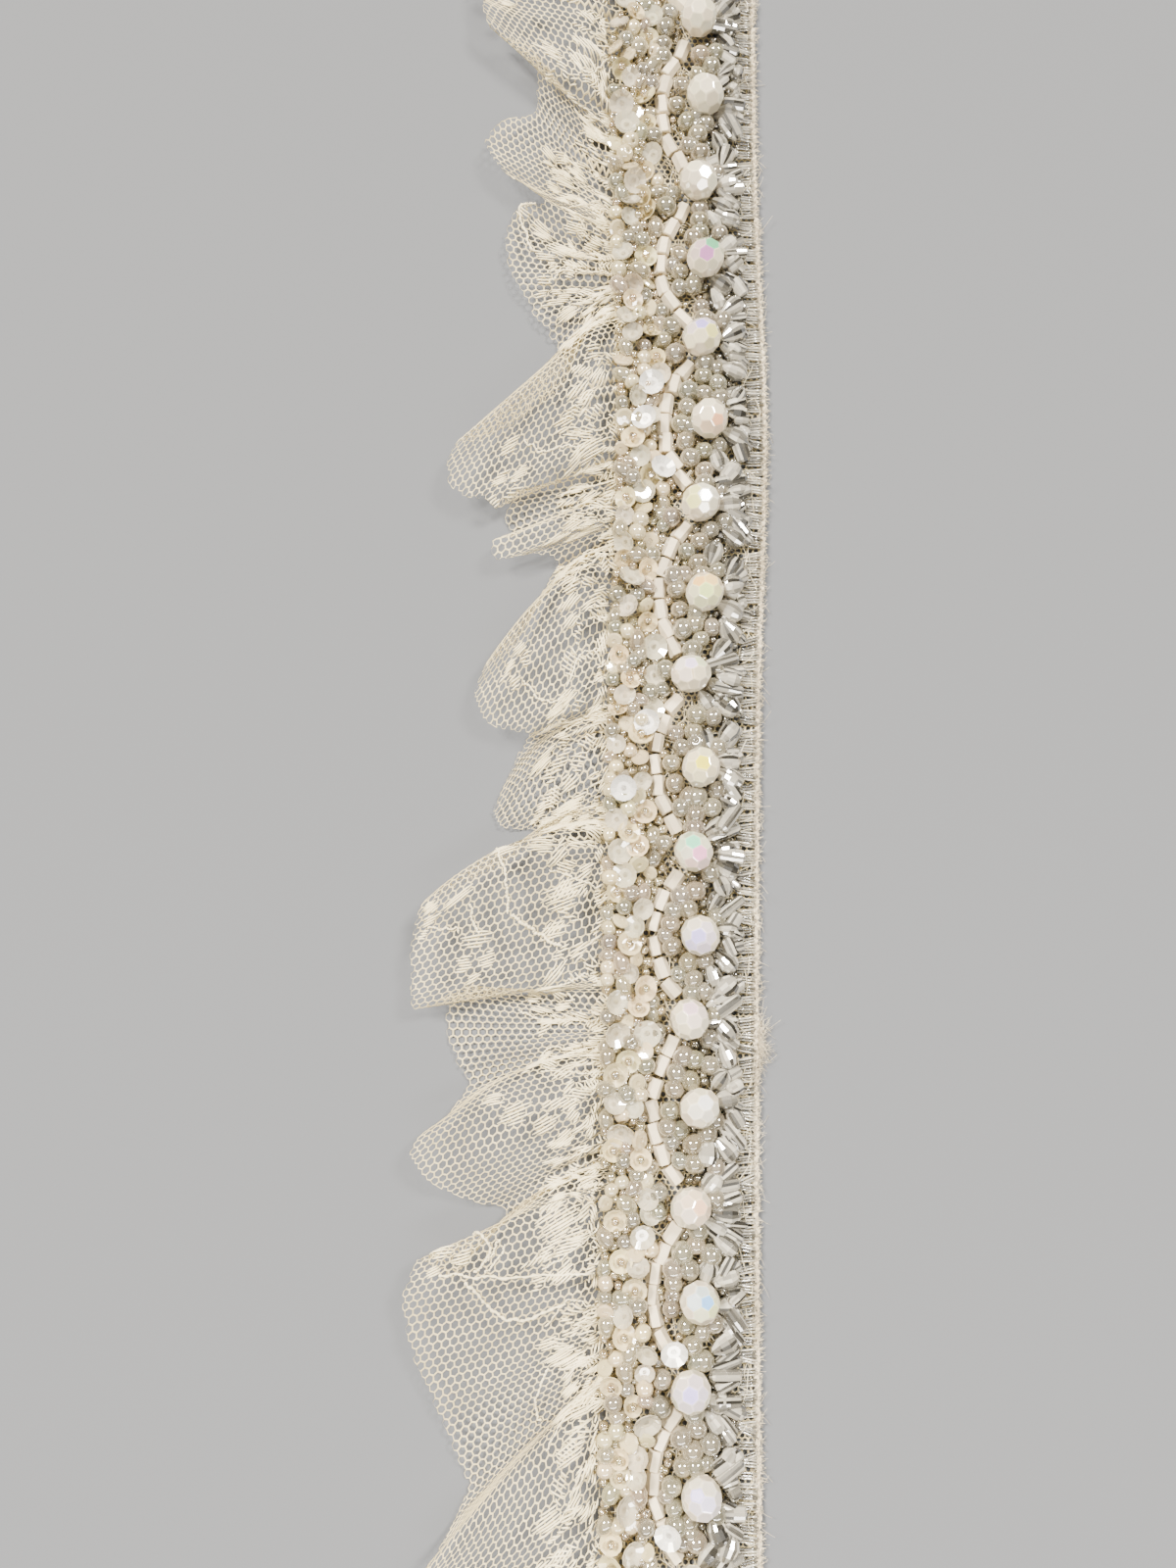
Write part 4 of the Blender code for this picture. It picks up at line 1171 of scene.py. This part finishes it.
def makeCrystals():
    # one bugle for each step along the edge, fanned in towards the nearest faceted bead
    pick = np.random.default_rng(31)
    y = np.arange(-band["halfLength"] + 2.0, band["halfLength"] - 1.0, crystal["pitch"])
    y = y + pick.normal(0, 0.35, len(y))
    near = nearestFacet(y)
    inward = y + (near[:, 1] - y) * crystal["fan"]
    clear = 3.6 - 1.6 * smoothStep(np.abs(near[:, 1] - inward) / 6.6)
    left = np.stack([near[:, 0] + clear, inward, np.full_like(y, 2.3)], axis=-1)
    right = np.stack([crystal["right"] + sway(y), y, np.full_like(y, 1.5)], axis=-1)
    left = left + pick.normal(0, 0.45, left.shape) * (1.6, 1.6, 1.3)
    right = right + pick.normal(0, 0.35, right.shape) * (1.2, 2.0, 1.0)
    length = np.minimum(np.linalg.norm(right - left, axis=1), crystal["longest"])
    length = length * pick.uniform(0.85, 1.0, len(y))
    thick = pick.uniform(crystal["thin"], crystal["thick"], len(y))
    for end in (left, right):  # each rests on the net
        end[:, 2] = np.maximum(end[:, 2], band["netTop"] + 0.5 * thick)
    frames = framesAlong(right - left)
    frames[:, :, 2] *= length[:, None]
    frames[:, :, :2] *= thick[:, None, None]
    putCrystals("clearBugles", crystal["bugle"], (left + right) / 2, frames, 1.0, 32, "crystal_string")


makeCrystals()
rungs = {
    "pitch": 1.45,
    "left": 22.8,
    "right": 25.6,
    "radius": 0.18,
    "spacing": 0.42,
    "sides": 5,
    # painted highlights and shade on the flat sides of the rods
    "paintedShades": (0.15, 0.4, 0.7, 0.9),
}


def makeRungs():
    # bundles of three fine clear rods joining the crystals to the cord
    pick = np.random.default_rng(41)
    y = np.arange(-band["halfLength"] + 1.0, band["halfLength"] - 0.5, rungs["pitch"])
    y = (y + pick.normal(0, 0.15, len(y)))[:, None] + (np.arange(3) - 1)[None] * rungs["spacing"]
    y = y.ravel()
    slope = np.repeat(pick.normal(0, 0.35, len(y) // 3), 3)
    s = np.linspace(0.0, 1.0, 4)[None]
    across = rungs["left"] + (rungs["right"] - rungs["left"]) * s + sway(y)[:, None]
    x = across + 0.08 * pick.normal(0, 1, (len(y), 4))
    z = 1.25 - 0.25 * s + 0.06 * pick.normal(0, 1, (len(y), 4))
    paths = np.stack([x, y[:, None] + slope[:, None] * (1 - s), z], axis=-1)
    shape = threadTubes(paths, rungs["radius"], rungs["sides"])
    colours = paintedStreaks(len(y), 4, rungs["sides"], crystal["colour"], rungs["paintedShades"], 42)
    own(putMesh("edgeRungs", *shape, rodGlass, True, colours), "crystal")


makeRungs()
print("bugles and rungs")

# the small beads: count, smallest and largest radius, where they lie across the band
filling = {
    "creamBall": (92, 1.15, 1.5, 3.4, 10.2),
    "flatBead": (40, 1.1, 1.6, 3.4, 9.6),
    "eggBead": (70, 1.05, 1.4, 3.4, 10.0),
    "creamCup": (46, 1.5, 2.0, 4.0, 9.4),
    "clearCup": (56, 1.5, 2.1, 4.0, 10.2),
    "linedSeed": (230, 0.75, 0.95, 3.6, 11.2),
    "sideBall": (54, 1.35, 1.75, 15.5, 20.0),
    "sideDrop": (84, 1.35, 1.85, 17.4, 21.6),
    "sideSeed": (120, 0.65, 0.9, 15.0, 21.8),
    "gapBall": (62, 1.3, 1.8, 11.0, 17.0),
    "gapSeed": (190, 0.5, 0.75, 10.5, 17.5),
    "keepClear": {"facet": 2.9, "tube": 1.2, "pearl": 1.35},  # radii of the strung beads
    "squeeze": 0.86,  # share of its radius that a small bead keeps clear
    "overLace": 1.9,
    "topSeed": 0.72,
    # where the mirror sequins lie, in x and y, and how large they are
    "mirrors": (
        (9.2, 55.2), (8.1, 49.2), (10.6, 41.4), (8.3, 2.0), (4.6, -8.0), (11.6, -89.5), (10.8, -114.6),
    ),
    "mirrorRadius": 2.0,
}
beadShades = {  # colour, and how far each bead strays from it
    "cream": ((0.68, 0.56, 0.32), 0.12),
    "creamFlat": ((0.68, 0.56, 0.32), 0.1),
    # clear and egg: dark tints, partly the glass's own tone and partly painted shade, for a dark middle
    # inside a painted bright ring
    "clear": ((0.33, 0.29, 0.205), 0.14),
    "clearSide": ((0.33, 0.29, 0.205), 0.1),
    "clearSeed": ((0.33, 0.29, 0.205), 0.08),
    "film": ((0.88, 0.79, 0.58), 0.06),
    "egg": ((0.44, 0.37, 0.24), 0.16),
    "gold": ((0.80, 0.66, 0.40), 0.12),
    "mirror": ((0.98, 0.94, 0.86), 0.02),
    "lining": ((0.92, 0.88, 0.78), 0.1),
}
seedBall = 0.85
seedTemplate = turnedProfile(beadProfile(seedBall, 0.7, 0.28, 6), 9)
liningTemplate = turnedProfile([(-0.56, 0.3), (-0.56, 0.42), (0.56, 0.42), (0.56, 0.3)], 7)
cupProfile = ((0.10, 0.22), (0.02, 0.24), (0.0, 0.5), (0.38, 1.0), (0.46, 1.0), (0.10, 0.5), (0.10, 0.24))
cupTemplate = turnedProfile(cupProfile, 12)
eggProfile = (
    (-0.6, 0.18), (-1.25, 0.22), (-1.2, 0.5), (-0.85, 0.86), (-0.2, 1.0),
    (0.5, 0.86), (1.05, 0.52), (1.3, 0.22), (0.6, 0.18),
)
eggTemplate = turnedProfile(eggProfile, 11)
flatProfile = (
    (-0.16, 0.22), (-0.24, 0.26), (-0.22, 0.8), (-0.08, 1.0),
    (0.08, 1.0), (0.22, 0.8), (0.24, 0.26), (0.16, 0.22),
)
flatTemplate = turnedProfile(flatProfile, 12)


def spreadBeads(names, seed):
    # the named kinds scattered over the band, settled together between the strung beads
    pick = np.random.default_rng(seed)
    places, radii, limits, kinds = [], [], [], []
    for name in names:
        count, small, large, left, right = filling[name]
        y = (np.arange(count) + pick.uniform(0, 1, count)) / count * 2 - 1
        y = pick.permutation(y) * (band["halfLength"] - 1.5)
        x = pick.uniform(left, right, count) + sway(y)
        places.append(np.stack([x, y], axis=-1))
        radii.append(pick.uniform(small, large, count))
        limits.append(np.tile((left - 1.0, right + 1.0), (count, 1)))
        kinds += [name] * count
    places, radii, limits = np.concatenate(places), np.concatenate(radii), np.concatenate(limits)
    strung = {"facet": facetPlace, "tube": tubePlaces, "pearl": pearlPlaces}
    fixed = np.concatenate([beads[:, :2] for beads in strung.values()])
    fixedRadii = [np.full(len(beads), filling["keepClear"][kind]) for kind, beads in strung.items()]
    places = settled(places, radii * filling["squeeze"], fixed, np.concatenate(fixedRadii), *limits.T)
    return [(places[np.array(kinds) == name], radii[np.array(kinds) == name]) for name in names]


def resting(places, heights):
    # places in plan, raised by the heights off the net, or off the lace heading over it
    onHeading = 1 - smoothStep((places[:, 0] - 7.4) / 1.2)
    base = band["netTop"] + (filling["overLace"] - band["netTop"]) * onHeading
    return np.concatenate([places, (base + heights)[:, None]], axis=1)


def putBeads(name, template, at, ways, sizes, material, smooth, shade, slot, seed, *nodes):
    # copies of one bead along their ways, each with its own tint of the shade
    shape = copies(template, at, framesAlong(ways), sizes)
    colours = tints(len(at), len(template[0]), *beadShades[shade], seed)
    own(putMesh(name, *shape, material, smooth, colours), slot, *nodes)


def makeBalls(name, beads, material, shade, seed):
    # round beads resting on the net, the hole of each turned its own way
    places, radii = beads
    ways = np.random.default_rng(seed).normal(0, 1.0, (len(places), 3)) * (1, 1, 0.5)
    at = resting(places, 0.95 * radii)
    putBeads(name, pearlTemplate, at, ways, radii / pearl["ball"], material, True, shade, "pearls", seed + 1)


def makeEggs(beads):
    # egg-shaped beads lying on their sides
    places, radii = beads
    ways = np.random.default_rng(94).normal(0, 1.0, (len(places), 3)) * (1.0, 1.3, 0.35)
    at = resting(places, 0.95 * radii)
    putBeads("eggBeads", eggTemplate, at, ways, radii, softGlass, True, "egg", "pearls", 95)


def makeDiscs(name, template, beads, lift, lean, material, shade, seed, *nodes):
    # thin round pieces leaning by a random amount each way; it gives the place of each top
    places, radii = beads
    pick = np.random.default_rng(seed)
    tilt = np.concatenate([pick.normal(0, lean, (len(places), 2)), np.ones((len(places), 1))], axis=1)
    raised = 0.35 * radii * np.linalg.norm(tilt[:, :2], axis=1).clip(0, 1.2)
    at = resting(places, lift + raised)
    putBeads(name, template, at, tilt, radii, material, False, shade, "sequins", seed + 1, *nodes)
    return at + unit(tilt) * 0.35 * radii[:, None]


def makeSeeds(name, beads, shade, seed, tops=()):
    # clear seeds with a bright lining in the hole, and one more over each of the tops
    places, radii = beads
    at = resting(places, 0.95 * radii)
    if len(tops):
        at = np.concatenate([at, tops])
        radii = np.concatenate([radii, np.full(len(tops), filling["topSeed"])])
    ways = np.random.default_rng(seed).normal(0, 1.0, (len(at), 3)) * (1, 1, 0.6)
    sizes = radii / seedBall
    putBeads(name, seedTemplate, at, ways, sizes, seedGlass, True, shade, "crystal", seed + 1)
    lining = name + "Lining"
    putBeads(lining, liningTemplate, at, ways, sizes, silverLining, True, "lining", "sequins", seed + 2)


def makeDrops(beads):
    # cut drops lying on their sides between the bugles, pointing at the nearest faceted bead
    places, radii = beads
    pick = np.random.default_rng(74)
    ways = unit(places - nearestFacet(places[:, 1])[:, :2])
    ways = np.concatenate([ways, np.zeros((len(places), 1))], axis=1)
    ways = ways + pick.normal(0, 1.0, ways.shape) * (0.25, 0.25, 0.2)
    at = resting(places, 0.95 * radii)
    putCrystals("cutDrops", crystal["drop"], at, framesAlong(ways), radii, 75)


def makeFilling():
    # over the gathers, then between the faceted beads and the crystals, then in the scallops
    names = ("creamBall", "flatBead", "eggBead", "creamCup", "clearCup", "linedSeed")
    balls, flats, eggs, creamCups, clearCups, seeds = spreadBeads(names, 51)
    makeBalls("creamBalls", [part[::2] for part in balls], creamGlass, "cream", 52)
    makeBalls("glassBalls", [part[1::2] for part in balls], softGlass, "clear", 66)
    makeEggs(eggs)
    makeDiscs("flatBeads", flatTemplate, flats, 1.0, 0.55, creamGlass, "creamFlat", 54)
    tops = makeDiscs(
        "cupSequins", cupTemplate, creamCups, 1.0, 0.35, sequinFilm, "cream", 56, "sequin_stacks"
    )
    makeDiscs("clearCups", cupTemplate, clearCups, 1.1, 0.4, clearGlass, "film", 58)
    makeSeeds("linedSeeds", seeds, "gold", 60, tops + (0.0, 0.0, 0.5))
    mirrors = np.array(filling["mirrors"]), np.full(len(filling["mirrors"]), filling["mirrorRadius"])
    makeDiscs("mirrorSequins", cupTemplate, mirrors, 2.4, 0.25, mirrorFilm, "mirror", 64)
    balls, drops, seeds = spreadBeads(("sideBall", "sideDrop", "sideSeed"), 71)
    makeBalls("sideBalls", balls, softGlass, "clearSide", 72)
    makeDrops(drops)
    makeSeeds("sideSeeds", seeds, "clearSeed", 76)
    balls, seeds = spreadBeads(("gapBall", "gapSeed"), 81)
    makeBalls("gapBalls", balls, softGlass, "clear", 82)
    makeSeeds("gapSeeds", seeds, "gold", 86)


makeFilling()
sewing = {
    "count": 2200,
    "left": 4.2,
    "right": 25.0,
    "thread": 0.055,
    "longest": 4.5,
    "bow": 0.25,
    "heights": (0.85, 1.9),
    "sag": 0.9,
}


def makeSewingThreads():
    # fine threads running from bead to bead just above the net, each a shallow bow
    pick = np.random.default_rng(81)
    count = sewing["count"]
    y = pick.uniform(-1, 1, count)[:, None] * (band["halfLength"] - 2.5)
    x = pick.uniform(sewing["left"], sewing["right"], count)[:, None]
    turn = pick.uniform(0, math.pi, count)[:, None]
    length = pick.uniform(1.2, sewing["longest"], count)[:, None]
    s = np.linspace(-0.5, 0.5, 5)[None]
    bow = sewing["bow"] * pick.normal(0, 1, (count, 1)) * (0.25 - s**2) * 4
    x = np.clip(x + np.cos(turn) * length * s - np.sin(turn) * bow, sewing["left"], sewing["right"])
    y = y + np.sin(turn) * length * s + np.cos(turn) * bow
    z = pick.uniform(*sewing["heights"], (count, 1)) - sewing["sag"] * s**2
    paths = np.stack([x + sway(y), y, z], axis=-1)
    own(putMesh("sewingThreads", *threadTubes(paths, sewing["thread"], 4), sewingThread), "net")


makeSewingThreads()
print("small beads and sewing threads")

stage = {
    "floor": (0.128, 0.134, 0.146),
    "floorHalf": 1300,
    "room": (1.0, 0.96, 0.90, 1.0),
    "roomStrength": 0.07,
    "wall": (0.6, 0.6, 0.61, 1.0),
    "cameraPlace": (-0.75, -25.9, 194.1),
    "cameraTilt": 5.57,
    "lens": 29.25,
}


def makeFloor():
    # a plain square of pale paper under the trim
    half = stage["floorHalf"]
    corners = [(-half, -half, 0), (half, -half, 0), (half, half, 0), (-half, half, 0)]
    paper = newMaterial("floorPaper", stage["floor"], 0.9)[0]
    return putMesh("floor", corners, [np.array([[0, 1, 2, 3]])], paper, False)


makeFloor()

# name, kind, place, size (an angle in degrees, or a width and a height), strength, colour;
# each lamp looks at the middle of the trim
lamps = (
    ("lampLeft", "SUN", (-210, 170, 300), 16.4, 11.6, (1.0, 0.94, 0.84)),
    ("lampRight", "SUN", (200, 180, 300), 15.0, 7.6, (1.0, 0.95, 0.86)),
    ("stripLow", "AREA", (40, -330, 260), (420, 60), 1.4, (1.0, 0.95, 0.87)),
    ("ceilingPanel", "AREA", (-300, -500, 2500), (4000, 4000), 34.0, (1.0, 0.96, 0.88)),
)


def makeLamp(name, kind, place, size, power, colour):
    # a soft sun or a soft rectangle of light
    light = bpy.data.lights.new(name, kind)
    light.energy = power
    light.color = colour
    if kind == "SUN":
        light.angle = math.radians(size)
    else:
        light.shape = "RECTANGLE"
        light.size, light.size_y = size[0] * mm, size[1] * mm
    lamp = bpy.data.objects.new(name, light)
    bpy.context.scene.collection.objects.link(lamp)
    lamp.location = [k * mm for k in place]
    lamp.rotation_euler = (-Vector(place)).to_track_quat("-Z", "Y").to_euler()


for row in lamps:
    makeLamp(*row)


def makeRoom():
    # faint warm light from all round, and a pale wall that only a low view sees
    world = bpy.data.worlds.new("studio")
    world.use_nodes = True
    studio = world.node_tree
    room = studio.nodes["Background"]
    room.inputs["Color"].default_value = stage["room"]
    room.inputs["Strength"].default_value = stage["roomStrength"]
    wall = addNode(studio, "ShaderNodeBackground", {"Color": stage["wall"]})
    seen = addNode(studio, "ShaderNodeLightPath")
    choice = addNode(studio, "ShaderNodeMixShader")
    connect(
        studio,
        (seen, "Is Camera Ray", choice, "Fac"),
        (room, "Background", choice, 1),
        (wall, "Background", choice, 2),
        (choice, "Shader", studio.nodes["World Output"], "Surface"),
    )
    bpy.context.scene.world = world


makeRoom()


def makeCamera():
    # looks down on the trim from a little towards its near end
    view = bpy.data.cameras.new("mainView")
    view.sensor_fit = "VERTICAL"
    view.sensor_height = 36.0
    view.sensor_width = 36.0
    view.lens = stage["lens"]
    view.clip_start = 0.01
    view.clip_end = 20.0
    camera = bpy.data.objects.new("mainView", view)
    camera.location = [k * mm for k in stage["cameraPlace"]]
    camera.rotation_euler = (math.radians(stage["cameraTilt"]), 0.0, 0.0)
    bpy.context.scene.collection.objects.link(camera)
    bpy.context.scene.camera = camera


makeCamera()
meshes = [piece.data for piece in bpy.context.scene.objects if piece.type == "MESH"]
print("triangles", sum(len(face.vertices) - 2 for mesh in meshes for face in mesh.polygons))
